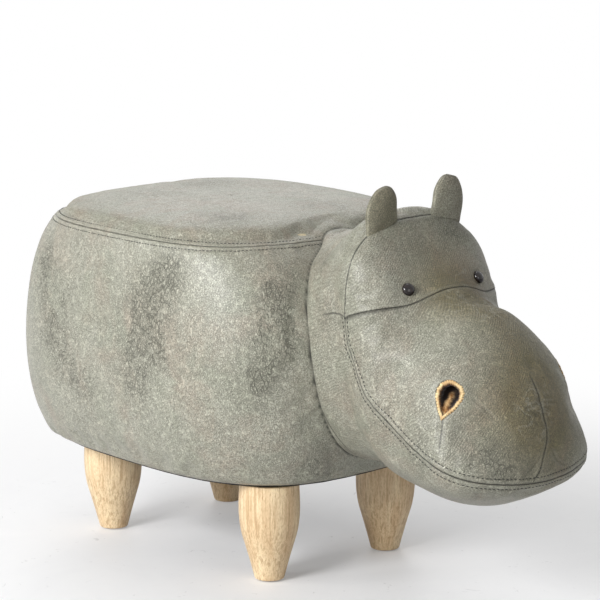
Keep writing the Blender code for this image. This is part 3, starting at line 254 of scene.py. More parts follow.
@dataclass(frozen=True)
class Hide(Finish):
    """Distressed faux leather: mottled grey-green, with a pebble grain, cracked dark areas, worn veins, and
    painted shade along the seams and in warm spots.
    """

    slot: str = "hide_faux_leather"
    pale: Colour = (0.515, 0.508, 0.413)
    olive: Colour = (0.425, 0.430, 0.333)
    umber: Colour = (0.460, 0.405, 0.315)
    dark: Colour = (0.080, 0.078, 0.055)
    painted_shade_tint: Colour = (0.62, 0.54, 0.38)
    twill: float = 0.0
    satin: float = 0.85
    blotches: tuple[Blotch, ...] = ()
    painted_shade_spots: tuple[Blotch, ...] = ()

    def paint(self, graph: Graph) -> None:
        """Mix the colours and the grain."""
        place = graph.coordinates()
        loose = graph.warped(place, 60.0, 0.008)
        cloud = graph.noise(place, 8.0, 4.0, 0.60, 0.3)
        hue = graph.noise(place, 15.0, 3.0, 0.60, 0.5)
        smear = graph.noise(graph.mapped(place, (1.0, 1.0, 0.45)), 26.0, 5.0, 0.62, 0.6)
        grit = graph.noise(place, 420.0, 3.0, 0.65)
        fine = graph.noise(place, 720.0, 2.0, 0.65)
        patch = (cloud * 0.55 + smear * 0.45).smooth(0.52, 0.68) * 0.5
        for blotch in self.blotches:
            spot = graph.near(loose, blotch.place, blotch.reach)
            patch = patch + spot * (smear.smooth(0.32, 0.56) * blotch.strength)
        patch = graph.clamp(patch)
        drawn = graph.mapped(graph.warped(place, 90.0, 0.003), (1.0, 1.0, 0.60), (0.5, 0.0, 0.0))
        wrinkle = graph.noise(drawn, 430.0, 3.0, 0.62) - 0.5
        wrinkle = 1.0 - (wrinkle * wrinkle).smooth(0.0, 0.0032)
        crease = 1.0 - graph.cells(graph.warped(place, 160.0, 0.0022), 520.0).smooth(0.0, 0.15)
        crease = crease * graph.noise(place, 170.0, 2.0).smooth(0.30, 0.50)
        crackle = 1.0 - graph.cells(drawn, 250.0).smooth(0.01, 0.15)
        crackle = crackle * graph.noise(place, 120.0, 2.0).smooth(0.36, 0.54) * patch.smooth(0.08, 0.85)
        vein_noise = graph.noise(graph.warped(place, 22.0, 0.03), 34.0, 4.0, 0.60)
        vein = 1.0 - ((vein_noise - 0.5) * (vein_noise - 0.5)).smooth(0.0, 0.0005)
        vein = vein * cloud.smooth(0.46, 0.60)

        colour = graph.mix(hue.smooth(0.38, 0.62), self.olive, self.umber)
        colour = graph.mix((smear * 0.72 + grit * 0.28).smooth(0.34, 0.66), colour, self.pale)
        colour = graph.mix(patch * 0.16, colour, self.dark)
        on_seat = graph.along(place, UP).smooth(0.355, 0.375)
        sheen = (1.0 - patch * 0.5) * self.satin * (1.0 - on_seat * 0.8)
        # Painted shade: a warm brown darkening laid as spots where the surface faces away from the key lamp; it
        # also takes off the coat there
        if self.painted_shade_spots:
            tan = 0.0
            for blotch in self.painted_shade_spots:
                tan = graph.near(loose, blotch.place, blotch.reach) * blotch.strength + tan
            tan = graph.clamp(tan * (cloud * 0.7 + 0.6))
            colour = graph.mix(tan, colour, self.painted_shade_tint, "MULTIPLY")
            sheen = sheen * (1.0 - tan * 0.9)
        colour = graph.mix(wrinkle * (patch * 0.20 + 0.30), colour, self.dark)
        colour = graph.mix(crease * (patch * 0.20 + 0.38), colour, self.dark)
        colour = graph.mix(crackle * 0.68, colour, self.dark)
        colour = graph.mix(fine.smooth(0.40, 0.62) * 0.44, colour, self.dark)
        colour = graph.mix(vein * 0.30, colour, self.pale)
        # Painted shade along seams, folds and the ear's foot: groove and contact shadow, partly dirt
        colour = graph.mix(graph.attribute("seam_shade") * 0.88, colour, (0.016, 0.016, 0.012))
        colour = graph.mix(graph.attribute("seam_worn") * 0.20, colour, self.pale)

        height = grit * 0.16 + fine * 0.16 - wrinkle * 0.50 - crease * 0.45 - crackle * 0.9 - vein * 0.15
        if self.twill:
            wobble = graph.noise(place, 45.0, 2.0) * 5.0
            lines = (graph.along(place, (0.50, 1.0, -0.95)) * 1900.0 + wobble).sine()
            lines = lines * graph.noise(place, 45.0, 2.0).smooth(0.36, 0.58)
            height = height + lines * (0.45 * self.twill)
            colour = graph.mix(lines.smooth(-0.2, 1.0) * (0.50 * self.twill), colour, self.dark)
        graph.set(
            Base_Color=colour, Roughness=0.46 + grit * 0.14 + patch * 0.08 - vein * 0.03,
            Specular_IOR_Level=0.36, Coat_Weight=sheen, Coat_Roughness=0.44,
            Normal=graph.bump(height, 0.00080, 1.0),
        )


@dataclass(frozen=True)
class Suede(Finish):
    """Orange-brown suede of the nostrils, tan on the pinked rim, with painted shadow darkening it to black in
    the depth.
    """

    slot: str = "lining_suede"
    tan: Colour = (0.86, 0.66, 0.36)
    brown: Colour = (0.42, 0.19, 0.055)
    burnt: Colour = (0.075, 0.028, 0.010)
    pocket_shadow: Colour = (0.012, 0.006, 0.004)

    def paint(self, graph: Graph) -> None:
        """Paint shadow into the suede by the depth that the mesh keeps."""
        place = graph.coordinates()
        nap = graph.noise(place, 700.0, 3.0, 0.6)
        blot = graph.noise(place, 160.0, 3.0, 0.6)
        depth = graph.attribute("lining_depth")
        pinked = graph.attribute("pinked")
        colour = graph.mix(blot.smooth(0.40, 0.64) * 0.5 + depth.smooth(0.0, 0.30) * 0.5, self.tan, self.brown)
        colour = graph.mix(pinked, colour, self.burnt)
        # Painted shadow: browner and then black towards the depth of the pocket
        colour = graph.mix((depth + blot * 0.5 - 0.25).smooth(0.34, 0.80), colour, self.pocket_shadow)
        graph.set(
            Base_Color=colour, Roughness=0.85, Sheen_Weight=0.25, Specular_IOR_Level=0.2,
            Normal=graph.bump(nap + blot * 0.6, 0.0006, 0.7),
        )


@dataclass(frozen=True)
class TurnedWood(Finish):
    """Pale turned rubberwood with upright grain, dark pores and a satin lacquer."""

    slot: str = "turned_wood"
    cream: Colour = (0.83, 0.67, 0.43)
    straw: Colour = (0.70, 0.51, 0.30)
    brown: Colour = (0.40, 0.235, 0.105)

    def paint(self, graph: Graph) -> None:
        """Stretch the grain along the leg."""
        place = graph.coordinates()
        bent = graph.warped(place, 12.0, 0.010)
        band = graph.noise(graph.mapped(bent, (1.0, 1.0, 0.14)), 75.0, 4.0, 0.55, 0.4)
        vein = graph.noise(graph.mapped(place, (1.0, 1.0, 0.05)), 420.0, 3.0, 0.6)
        pore = graph.cells(graph.mapped(place, (1.0, 1.0, 0.16)), 620.0, "F1")
        pore = (1.0 - pore.smooth(0.10, 0.34)) * graph.noise(place, 150.0, 2.0).smooth(0.42, 0.62)
        speck = graph.noise(graph.mapped(place, (1.0, 1.0, 0.30)), 900.0, 2.0, 0.6)
        tone = graph.noise(place, 16.0, 2.0)
        colour = graph.mix((band * 0.7 + tone * 0.3).smooth(0.36, 0.62), self.cream, self.straw)
        colour = graph.mix(vein.smooth(0.46, 0.66) * 0.60, colour, self.brown)
        colour = graph.mix(pore * 0.70, colour, self.brown)
        colour = graph.mix(speck.smooth(0.42, 0.66) * 0.34, colour, self.brown)
        height = vein * 0.4 - pore * 0.8 + speck * 0.3
        graph.set(
            Base_Color=colour, Roughness=0.40 + band * 0.14, Coat_Weight=0.10, Coat_Roughness=0.35,
            Normal=graph.bump(height, 0.0003, 0.5),
        )


@dataclass(frozen=True)
class SawnWood(Finish):
    """Inner wood: plies or plain softwood, with grain along X."""

    pale: Colour = (0.70, 0.54, 0.33)
    dark: Colour = (0.46, 0.31, 0.16)
    ply: float = 0.0
    grain: Place = (0.07, 1.0, 1.0)

    def paint(self, graph: Graph) -> None:
        """Grain, and plies where the board is glued up."""
        place = graph.coordinates()
        band = graph.noise(graph.mapped(place, self.grain), 70.0, 4.0, 0.6, 0.5)
        fibre = graph.noise(graph.mapped(place, self.grain), 500.0, 2.0)
        colour = graph.mix(band.smooth(0.35, 0.65), self.pale, self.dark)
        colour = graph.mix(fibre.smooth(0.5, 0.75) * 0.3, colour, self.dark)
        height = band * 0.5 + fibre * 0.5
        if self.ply:
            layer = (graph.along(place, UP) * (math.tau / self.ply)).sine().smooth(0.1, 0.9)
            colour = graph.mix(layer * 0.35, colour, self.dark)
            height = height + layer * 0.3
        graph.set(Base_Color=colour, Roughness=0.68 + band * 0.12, Normal=graph.bump(height, 0.0003, 0.5))


@dataclass(frozen=True)
class Pressed(Finish):
    """Pressed or matted material: hardboard, felt, non-woven cloth, fibre or nylon."""

    pale: Colour = (0.4, 0.27, 0.15)
    dark: Colour = (0.25, 0.16, 0.08)
    scale: float = 500.0
    depth: float = 0.0003
    roughness: float = 0.85
    sheen: float = 0.0
    weave: float = 0.0

    def paint(self, graph: Graph) -> None:
        """Matted fibres, with an embossed dot grid where the cloth has one."""
        place = graph.coordinates()
        mat = graph.noise(graph.warped(place, self.scale / 2, 0.5 / self.scale), self.scale, 4.0, 0.65)
        wide = graph.noise(place, self.scale / 12, 3.0)
        colour = graph.mix((mat * 0.6 + wide * 0.4).smooth(0.36, 0.64), self.dark, self.pale)
        height = mat
        if self.weave:
            dots = (graph.along(place, (1.0, 1.0, 0.0)) * (math.tau / self.weave)).sine()
            dots = dots * (graph.along(place, (1.0, -1.0, 0.0)) * (math.tau / self.weave)).sine()
            height = mat * 0.5 - dots.smooth(0.3, 0.8)
            colour = graph.mix(dots.smooth(0.3, 0.8) * 0.4, colour, self.dark)
        graph.set(
            Base_Color=colour, Roughness=self.roughness, Sheen_Weight=self.sheen,
            Normal=graph.bump(height, self.depth, 0.6),
        )


@dataclass(frozen=True)
class Foam(Finish):
    """Open-cell foam."""

    slot: str = "foam"
    pale: Colour = (0.82, 0.76, 0.56)
    dark: Colour = (0.60, 0.50, 0.30)

    def paint(self, graph: Graph) -> None:
        """Small open pores."""
        place = graph.coordinates()
        pore = graph.cells(place, 750.0, "F1").smooth(0.2, 0.7)
        wide = graph.noise(place, 40.0, 3.0)
        colour = graph.mix(pore * 0.6 + wide * 0.2, self.dark, self.pale)
        graph.set(Base_Color=colour, Roughness=0.95, Normal=graph.bump(pore, 0.0008, 0.7))


@dataclass(frozen=True)
class Steel(Finish):
    """Zinc-plated steel with a faint spangle and turning marks."""

    slot: str = "zinc_plated_steel"

    def paint(self, graph: Graph) -> None:
        """Spangle and scratches."""
        place = graph.coordinates()
        spangle = graph.cells(place, 500.0, "F1")
        scratch = graph.noise(graph.mapped(place, (1.0, 1.0, 12.0)), 500.0, 2.0)
        colour = graph.mix(spangle.smooth(0.1, 0.8), (0.50, 0.52, 0.54), (0.66, 0.67, 0.66))
        normal = graph.bump(scratch, 0.0001, 0.3)
        graph.set(Base_Color=colour, Metallic=1.0, Roughness=0.26 + scratch * 0.2, Normal=normal)


@dataclass(frozen=True)
class EyeGloss(Finish):
    """Gloss black eye with a faint brown depth."""

    slot: str = "eye_black"

    def paint(self, graph: Graph) -> None:
        """Nearly black, with a hard gloss."""
        place = graph.coordinates()
        depth = graph.noise(place, 300.0, 2.0)
        colour = graph.mix(depth.smooth(0.3, 0.7), (0.006, 0.005, 0.006), (0.022, 0.014, 0.012))
        graph.set(
            Base_Color=colour, Roughness=0.05 + graph.noise(place, 900.0, 2.0) * 0.05, Specular_IOR_Level=0.42,
        )


@dataclass(frozen=True)
class Thread(Finish):
    """Twisted polyester thread."""

    slot: str = "hide_faux_leather"
    pale: Colour = (0.048, 0.048, 0.036)
    dark: Colour = (0.014, 0.014, 0.011)

    def paint(self, graph: Graph) -> None:
        """Fine twist."""
        place = graph.coordinates()
        twist = (graph.along(place, (0.6, 1.0, 0.8)) * 9000.0).sine().smooth(-0.6, 0.8)
        wear = graph.noise(place, 120.0, 2.0)
        colour = graph.mix(twist * 0.6 + wear * 0.4, self.dark, self.pale)
        graph.set(Base_Color=colour, Roughness=0.6, Sheen_Weight=0.2, Normal=graph.bump(twist, 0.0001, 0.5))


@dataclass(frozen=True)
class StudioFloor(Finish):
    """Pale floor that fades to white away from the stool for the camera alone."""

    slot: str = ""
    near_share: float = 0.18

    def paint(self, graph: Graph) -> None:
        """A matt floor, mixed with plain white for camera rays, more so far away."""
        place = graph.coordinates()
        smudge = graph.noise(graph.warped(place, 3.0, 0.2), 9.0, 5.0, 0.65, 1.0)
        fleck = graph.noise(graph.warped(place, 8.0, 0.08), 38.0, 3.0, 0.6, 2.0)
        fleck = fleck.smooth(0.66, 0.76)
        colour = graph.mix(smudge.smooth(0.35, 0.75) * 0.5, (0.84, 0.84, 0.85), (0.78, 0.78, 0.80))
        colour = graph.mix(fleck * 0.6, colour, (0.40, 0.40, 0.41))
        graph.set(Base_Color=colour, Roughness=0.55, Specular_IOR_Level=0.25)
        distance = graph.vector_math("LENGTH", place, output="Value")
        share = distance.smooth(0.0, 1.0) * (1.0 - self.near_share) + self.near_share
        camera = graph.node("ShaderNodeLightPath", None, None, "Is Camera Ray")
        white = graph.node("ShaderNodeEmission", None, {"Color": (1.0, 1.0, 1.0, 1.0), "Strength": 1.0})
        shader = Socket(graph, graph.shader.outputs[0])
        mixed = graph.node("ShaderNodeMixShader", None, {0: camera * share, 1: shader, 2: white})
        graph.feed(graph.output.inputs["Surface"], mixed)


def blotches(rows: Sequence[tuple[float, ...]]) -> tuple[Blotch, ...]:
    """Blotches from rows of x, y, z, reach and strength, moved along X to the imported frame."""
    return tuple(Blotch((x + SHIFT_X, y, z), reach, strength) for x, y, z, reach, strength in rows)


FLANK_BLOTCHES = (
    (0.050, -0.174, 0.308, 0.055, 1.00), (0.071, -0.166, 0.337, 0.040, 0.90),
    (0.018, -0.179, 0.266, 0.050, 0.90), (0.065, -0.176, 0.257, 0.045, 0.95),
    (0.026, -0.179, 0.215, 0.055, 0.70), (0.171, -0.102, 0.327, 0.042, 0.75),
    (0.177, -0.114, 0.298, 0.045, 0.80), (0.189, -0.104, 0.277, 0.040, 0.70),
    (0.178, -0.128, 0.253, 0.045, 0.80), (0.167, -0.140, 0.222, 0.045, 0.75),
    (-0.126, -0.174, 0.277, 0.060, 0.75), (-0.150, -0.165, 0.320, 0.045, 0.70),
    (-0.108, -0.178, 0.224, 0.055, 0.60), (-0.063, -0.178, 0.192, 0.040, 0.50),
    (0.196, -0.068, 0.137, 0.055, 0.60), (0.081, 0.033, 0.385, 0.050, 0.50),
    (0.070, -0.090, 0.384, 0.060, 0.60), (-0.120, 0.040, 0.384, 0.070, 0.50),
    (-0.262, 0.030, 0.270, 0.070, 0.70), (-0.255, -0.070, 0.200, 0.055, 0.55),
    (-0.110, 0.175, 0.250, 0.070, 0.90), (-0.020, 0.178, 0.300, 0.060, 0.70),
    (0.110, 0.160, 0.260, 0.065, 0.80),
)
HEAD_BLOTCHES = (
    (0.201, -0.066, 0.353, 0.030, 0.70), (0.235, -0.095, 0.300, 0.035, 0.55),
    (0.278, 0.039, 0.382, 0.045, 0.70), (0.272, -0.020, 0.385, 0.045, 0.55),
    (0.198, -0.041, 0.130, 0.050, 0.60), (0.372, -0.100, 0.179, 0.045, 0.60),
    (0.433, -0.072, 0.191, 0.045, 0.75), (0.450, -0.046, 0.175, 0.035, 0.60),
    (0.440, -0.010, 0.225, 0.050, 0.50), (0.440, 0.060, 0.200, 0.055, 0.55),
    (0.240, 0.095, 0.250, 0.060, 0.60),
)
# Painted warm shade: brown spots where the head faces away from the key lamp (forehead, muzzle top and front),
# and on the ears, heavier on the near one
HEAD_PAINTED_SHADE = (
    (0.300, 0.000, 0.370, 0.080, 0.15), (0.328, 0.000, 0.336, 0.075, 1.10),
    (0.375, 0.015, 0.300, 0.090, 0.90), (0.442, 0.000, 0.230, 0.100, 1.60),
    (0.455, 0.045, 0.185, 0.095, 0.10), (0.440, -0.010, 0.150, 0.070, 0.20),
)
EAR_PAINTED_SHADE = ((0.2675, 0.049, 0.415, 0.080, 0.20), (0.2675, -0.049, 0.415, 0.080, 0.70))


# Shapes shared by the covers
def smooth_curve(places: Sequence[float], values: Sequence[float]) -> Callable[[Array], Array]:
    """A natural cubic through points.

    Args:
        places: Where the points are.
        values: What the curve is there.

    Returns:
        The curve as a function of the place.
    """
    at_places, at_values = np.asarray(places, float), np.asarray(values, float)
    span, rise = np.diff(at_places), np.diff(at_values)
    count = len(at_places)
    system, answer = np.eye(count), np.zeros(count)
    for i in range(1, count - 1):
        system[i, i - 1 : i + 2] = span[i - 1], 2 * (span[i - 1] + span[i]), span[i]
        answer[i] = 6 * (rise[i] / span[i] - rise[i - 1] / span[i - 1])
    bend = np.linalg.solve(system, answer)

    def value(at: Array) -> Array:
        """The curve's value."""
        at = np.asarray(at, float)
        i = np.clip(np.searchsorted(at_places, at) - 1, 0, count - 2)
        after, before = at - at_places[i], at_places[i + 1] - at
        straight = (at_values[i] * before + at_values[i + 1] * after) / span[i]
        curve = bend[i] * (before**3 / span[i] - span[i] * before)
        curve += bend[i + 1] * (after**3 / span[i] - span[i] * after)
        return straight + curve / 6

    return value


def ease(share: Array) -> Array:
    """A smooth step from 0 to 1."""
    share = np.clip(share, 0.0, 1.0)
    return share * share * (3.0 - 2.0 * share)


def unit(vectors: Array) -> Array:
    """The same directions at length 1."""
    return vectors / np.maximum(np.linalg.norm(vectors, axis=-1, keepdims=True), 1e-12)


def bell(distance: Array, width: float) -> Array:
    """1 at no distance, falling smoothly to nothing over some two widths."""
    return np.exp(-((distance / width) ** 2))


def lengths_along(path: Array) -> Array:
    """Length of a line from its start to each of its points."""
    return np.concatenate([[0.0], np.cumsum(np.linalg.norm(np.diff(path, axis=0), axis=1))])


def indexed(points: Array) -> KDTree:
    """Points in a tree for quick searches."""
    tree = KDTree(len(points))
    for i, place in enumerate(points):
        tree.insert(place, i)
    tree.balance()
    return tree


def graded(count: int, head: float, tail: float, spread: float = 0.10) -> Array:
    """Steps from 0 to 1 that are finer towards the ends.

    Args:
        count: Number of steps.
        head: How much finer the first steps are, from 0, even, to below 1.
        tail: The same for the last steps.
        spread: Share over which the finer steps die away.

    Returns:
        count + 1 places.
    """
    even = np.linspace(0.0, 1.0, count + 1)
    pace = 1.0 - head * np.exp(-even / spread) - tail * np.exp(-(1.0 - even) / spread)
    steps = np.concatenate([[0.0], np.cumsum((pace[1:] + pace[:-1]) / 2)])
    return steps / steps[-1]


def ripple(points: Array, size: float, seed: int, stretch: Sequence[float] = (1.0, 1.0, 1.0)) -> Array:
    """Soft unevenness between about -1 and 1.

    Args:
        points: Places, as rows of x, y and z.
        size: Distance from crest to crest.
        seed: Picks one of many patterns.
        stretch: Factors on the coordinates, below 1 to lengthen the waves along that axis.

    Returns:
        One value for each point.
    """
    waves, highest = 9, 4.2
    rng = np.random.default_rng(seed)
    total = np.zeros(points.shape[:-1])
    for _ in range(waves):
        direction = unit(rng.normal(size=3)) * np.asarray(stretch)
        pace = math.tau / size * rng.uniform(0.65, 1.45)
        total += np.sin(points @ direction * pace + rng.uniform(0.0, math.tau))
    return total / highest


@dataclass(frozen=True)
class Barrel:
    """The body's skin: an oval with square shoulders, widest at the girth, under a crowned seat."""

    length: float = 0.4806
    width: float = 0.3606
    middle_x: float = -0.0262
    squareness: float = 3.04
    seam_z: float = 0.3640
    girth_z: float = 0.2246
    bottom_z: float = 0.1092
    seam_inset_end: float = 0.0575
    seam_inset_side: float = 0.0141
    bottom_inset: float = 0.0261
    top_arc: float = 0.873
    bottom_arc: float = 0.942
    crown: float = 0.0225
    crown_flatness: float = 4.2
    crown_roundness: float = 0.42
    rim_blend: float = 5.0

    def outline(self, turn: Array, end_inset: Array, side_inset: Array) -> Array:
        """Points of the oval, drawn in from the girth at the ends and the sides."""
        cosine, sine = np.cos(turn), np.sin(turn)
        half_length, half_width = self.length / 2 - end_inset, self.width / 2 - side_inset
        power = self.squareness
        reach = (np.abs(cosine / half_length) ** power + np.abs(sine / half_width) ** power) ** (-1.0 / power)
        return np.stack([self.middle_x + reach * cosine, reach * sine], axis=-1)

    def even_turns(self, count: int) -> Array:
        """Angles of points that lie evenly along the girth, the last one a full turn on."""
        fine = np.linspace(0.0, math.tau, 4001)
        gone = lengths_along(self.outline(fine, 0.0, 0.0))
        return np.interp(np.linspace(0.0, gone[-1], count + 1), gone, fine)

    @staticmethod
    def _turned_in(share: Array, arc: float) -> Array:
        """How far an arc has turned in at a share of its height, from 0 to 1."""
        return (1.0 - np.sqrt(1.0 - (share * arc) ** 2)) / (1.0 - math.sqrt(1.0 - arc**2))

    def seam_insets(self, height: Array) -> tuple[Array, Array]:
        """Insets of the ends and the sides above the girth."""
        share = np.clip((height - self.girth_z) / (self.seam_z - self.girth_z), 0.0, 1.0)
        bend = self._turned_in(share, self.top_arc)
        return self.seam_inset_end * bend, self.seam_inset_side * bend

    def low_inset(self, height: Array) -> Array:
        """Inset below the girth."""
        share = np.clip((self.girth_z - height) / (self.girth_z - self.bottom_z), 0.0, 1.0)
        return self.bottom_inset * self._turned_in(share, self.bottom_arc)

    def holds(self, point: Array) -> Array:
        """Whether places lie inside the body's skin."""
        across, z = point[..., 0] - self.middle_x, point[..., 2]
        turn = np.arctan2(point[..., 1], across)
        out = np.hypot(across, point[..., 1])
        upper = self.seam_insets(np.minimum(z, self.seam_z))
        ring = self.outline(turn, *(np.where(z < self.girth_z, self.low_inset(z), inset) for inset in upper))
        radius = np.hypot(ring[..., 0] - self.middle_x, ring[..., 1])
        crown = self.soft_crown(np.minimum(out / radius, 1.0), turn, radius)
        return (out < radius) & (z < self.seam_z + np.where(z > self.seam_z, crown, 1.0))

    def crown_rise(self, share: Array) -> Array:
        """Height of the seat over its seam, at a share of the way out from the middle."""
        return self.crown * np.maximum(1.0 - share**self.crown_flatness, 0.0) ** self.crown_roundness

    def rim_slope(self, turn: Array) -> Array:
        """How steeply the side cover leans in where it meets the seat: rise over run."""
        step = 0.5 * MM
        rings = [self.outline(turn, *self.seam_insets(np.array(z))) for z in (self.seam_z, self.seam_z - step)]
        return step / np.linalg.norm(rings[1] - rings[0], axis=-1)

    def soft_crown(self, share: Array, turn: Array, radius: Array) -> Array:
        """Height of the seat, which leaves the rim in line with the side cover.

        Args:
            share: Share of the way out from the middle.
            turn: Angle round the oval.
            radius: Distance of the rim from the middle there.

        Returns:
            The height over the seam.
        """
        tangent = np.maximum((1.0 - share) * radius * self.rim_slope(turn), 1e-9)
        rise = np.maximum(self.crown_rise(share), 1e-9)
        return (tangent ** -self.rim_blend + rise ** -self.rim_blend) ** (-1.0 / self.rim_blend)


@dataclass(frozen=True)
class Swell:
    """A soft bump or hollow of the head, as shares of the head's sizes."""

    along: float
    across: float
    up: float
    reach: float
    height: float


@dataclass(frozen=True)
class HeadForm:
    """The head's skin: egg-shaped sections along X. Angles in a section run from the animal's left, upwards."""

    back_x: float = 0.1500
    length: float = 0.3077
    jaw_z: float = 0.1180
    height: float = 0.2830
    half_width: float = 0.1040
    stations: tuple[float, ...] = (0.0, 0.179, 0.364, 0.488, 0.601, 0.731, 0.878, 1.0)
    tops: tuple[float, ...] = (0.925, 0.945, 1.0, 0.836, 0.735, 0.677, 0.597, 0.517)
    waists: tuple[float, ...] = (0.493, 0.529, 0.554, 0.425, 0.320, 0.246, 0.178, 0.138)
    bottoms: tuple[float, ...] = (0.046, 0.055, 0.056, 0.036, 0.022, 0.001, 0.015, 0.059)
    widths: tuple[float, ...] = (0.771, 0.844, 0.896, 0.996, 0.984, 0.990, 0.999, 0.913)
    neck_squareness: float = 2.05
    cranium_squareness: float = 2.66
    muzzle_squareness: float = 2.05
    jaw_squareness: float = 2.13
    cranium_station: float = 0.364
    muzzle_station: float = 0.731
    width_cap: float = 0.672
    height_cap: float = 0.684
    width_cap_roundness: float = 2.20
    upper_cap_roundness: float = 2.17
    lower_cap_roundness: float = 2.21
    core: float = 0.682
    corner_angle: float = math.radians(17)
    corner_x: float = 0.2595
    face_seam_rise: float = 0.0055
    brow_x: float = 0.3238
    brow_sweep: float = 2.2
    mouth_places: tuple[float, ...] = (0.0, 0.016, 0.048, 0.103, 0.164, 0.235, 0.313, 0.390, 0.46, 1.0)
    mouth_shares: tuple[float, ...] = (1.0, 0.51, 0.13, -0.12, -0.25, -0.19, -0.08, -0.02, 0.0, 0.0)
    swells: tuple[Swell, ...] = (
        Swell(0.829, 0.673, 0.484, 0.092, 0.0124),
        Swell(0.916, 0.750, 0.332, 0.085, -0.0170),
        Swell(0.894, 0.817, 0.159, 0.106, 0.0463),
        Swell(0.559, 0.577, 0.696, 0.085, -0.0332),
        Swell(0.829, 0.721, 0.060, 0.106, -0.0332),
        Swell(0.731, 0.0, 0.678, 0.124, 0.0223),
        Swell(0.439, 0.769, 0.855, 0.106, 0.0360),
        Swell(0.942, 0.0, 0.413, 0.106, 0.0244),
        Swell(0.585, 0.865, 0.466, 0.124, -0.0180),
    )
    neck_dips: tuple[Swell, ...] = (
        Swell(0.020, 0.43, 0.865, 0.060, -0.0250),
        Swell(0.000, 0.0, 0.925, 0.080, -0.0300),
    )

    @property
    def nose_x(self) -> float:
        """X of the tip of the nose."""
        return self.back_x + self.length

    def over(self, share: Array) -> Array:
        """Angles from the left corner of the face over the top to the right one."""
        return self.corner_angle + (math.pi - 2 * self.corner_angle) * share

    def reach_x(self, share: Array) -> Array:
        """X from the corner of the face to the nose, in steps that close up at the nose."""
        return self.corner_x + (self.nose_x - self.corner_x) * np.sin(math.pi / 2 * share)

    def _end(self, along: Array, start: float, roundness: float) -> Array:
        """Size left of a section past the start of the nose's rounding."""
        share = np.clip((along - start) / (1.0 - start), 0.0, 1.0)
        return np.maximum(1.0 - share**roundness, 1e-9) ** (1.0 / roundness)

    def point(self, x: Array, angle: Array) -> Array:
        """Points of the skin at places along X and angles round the sections."""
        x, angle = np.broadcast_arrays(x, angle)
        along = (x - self.back_x) / self.length
        top, waist, bottom = (
            self.jaw_z + self.height * smooth_curve(self.stations, shares)(along)
            for shares in (self.tops, self.waists, self.bottoms)
        )
        half_width = self.half_width * smooth_curve(self.stations, self.widths)(along)
        half_width = half_width * self._end(along, self.width_cap, self.width_cap_roundness)
        over = (top - waist) * self._end(along, self.height_cap, self.upper_cap_roundness)
        under = (waist - bottom) * self._end(along, self.height_cap, self.lower_cap_roundness)
        to_cranium = ease(along / self.cranium_station)
        to_muzzle = ease((along - self.cranium_station) / (self.muzzle_station - self.cranium_station))
        upper = self.neck_squareness + (self.cranium_squareness - self.neck_squareness) * to_cranium
        upper = upper + (self.muzzle_squareness - self.cranium_squareness) * to_muzzle
        cosine, sine = np.cos(angle), np.sin(angle)
        rise = np.where(sine >= 0.0, over, under)
        power = np.where(sine >= 0.0, upper, self.jaw_squareness)
        reach = (np.abs(cosine / half_width) ** power + np.abs(sine / rise) ** power) ** (-1.0 / power)
        point = np.stack([x, reach * cosine, waist + reach * sine], axis=-1)
        core_x = np.minimum(x, self.back_x + self.length * self.core)
        away = unit(point - np.stack([core_x, np.zeros_like(x), waist], axis=-1))
        return point + away * self.swelling(point, (*self.swells, *self.neck_dips))[..., None]

    def swelling(self, point: Array, swells: Sequence[Swell]) -> Array:
        """Total height of some bumps and hollows."""
        total = np.zeros(point.shape[:-1])
        for swell in swells:
            reach = self.height * swell.reach
            for side in (1.0, -1.0) if swell.across else (1.0,):
                centre = (
                    self.back_x + self.length * swell.along,
                    side * self.half_width * swell.across,
                    self.jaw_z + self.height * swell.up,
                )
                distance = ((point - np.array(centre)) ** 2).sum(axis=-1)
                total += self.height * swell.height * np.exp(-distance / (2.0 * reach**2))
        return total

    def outward(self, x: Array, angle: Array) -> Array:
        """Outward directions of the skin."""
        x, angle = np.broadcast_arrays(x, angle)
        step = self.length * 1e-3
        safe_x = np.minimum(x, self.nose_x - 2 * step)
        round_step = self.point(safe_x, angle + 1e-3) - self.point(safe_x, angle - 1e-3)
        nose_step = self.point(safe_x + step, angle) - self.point(safe_x - step, angle)
        outward = unit(np.cross(round_step, nose_step))
        at_tip = ease((x - safe_x) / (2 * step))[..., None]
        return unit(outward * (1.0 - at_tip) + np.array([1.0, 0.0, 0.0]) * at_tip)

    def face_seam_x(self, angle: Array) -> Array:
        """X of the seam over the crown between the ears."""
        lift = (np.sin(angle) - math.sin(self.corner_angle)) / (1.0 - math.sin(self.corner_angle))
        return self.corner_x + self.face_seam_rise * lift

    def brow_seam_x(self, angle: Array) -> Array:
        """X of the seam under the eyes."""
        aside = np.abs(math.pi / 2 - angle) / (math.pi / 2 - self.corner_angle)
        return self.brow_x - (self.brow_x - self.corner_x) * aside**self.brow_sweep

    def mouth_angle(self, x: Array) -> Array:
        """Angle of the mouth seam on the left side."""
        reach = np.clip((x - self.corner_x) / (self.nose_x - self.corner_x), 0.0, 1.0)
        return self.corner_angle * smooth_curve(self.mouth_places, self.mouth_shares)(reach)

    def neck_x(self, angle: Array, body: Barrel) -> Array:
        """X at which the neck's skin reaches the body's skin, found by halving."""
        low = np.full_like(angle, self.back_x - self.length / 8)
        high = np.full_like(angle, self.corner_x - self.face_seam_rise)
        for _ in range(40):
            middle = (low + high) / 2
            inside = body.holds(self.point(middle, angle))
            low, high = np.where(inside, middle, low), np.where(inside, high, middle)
        return high

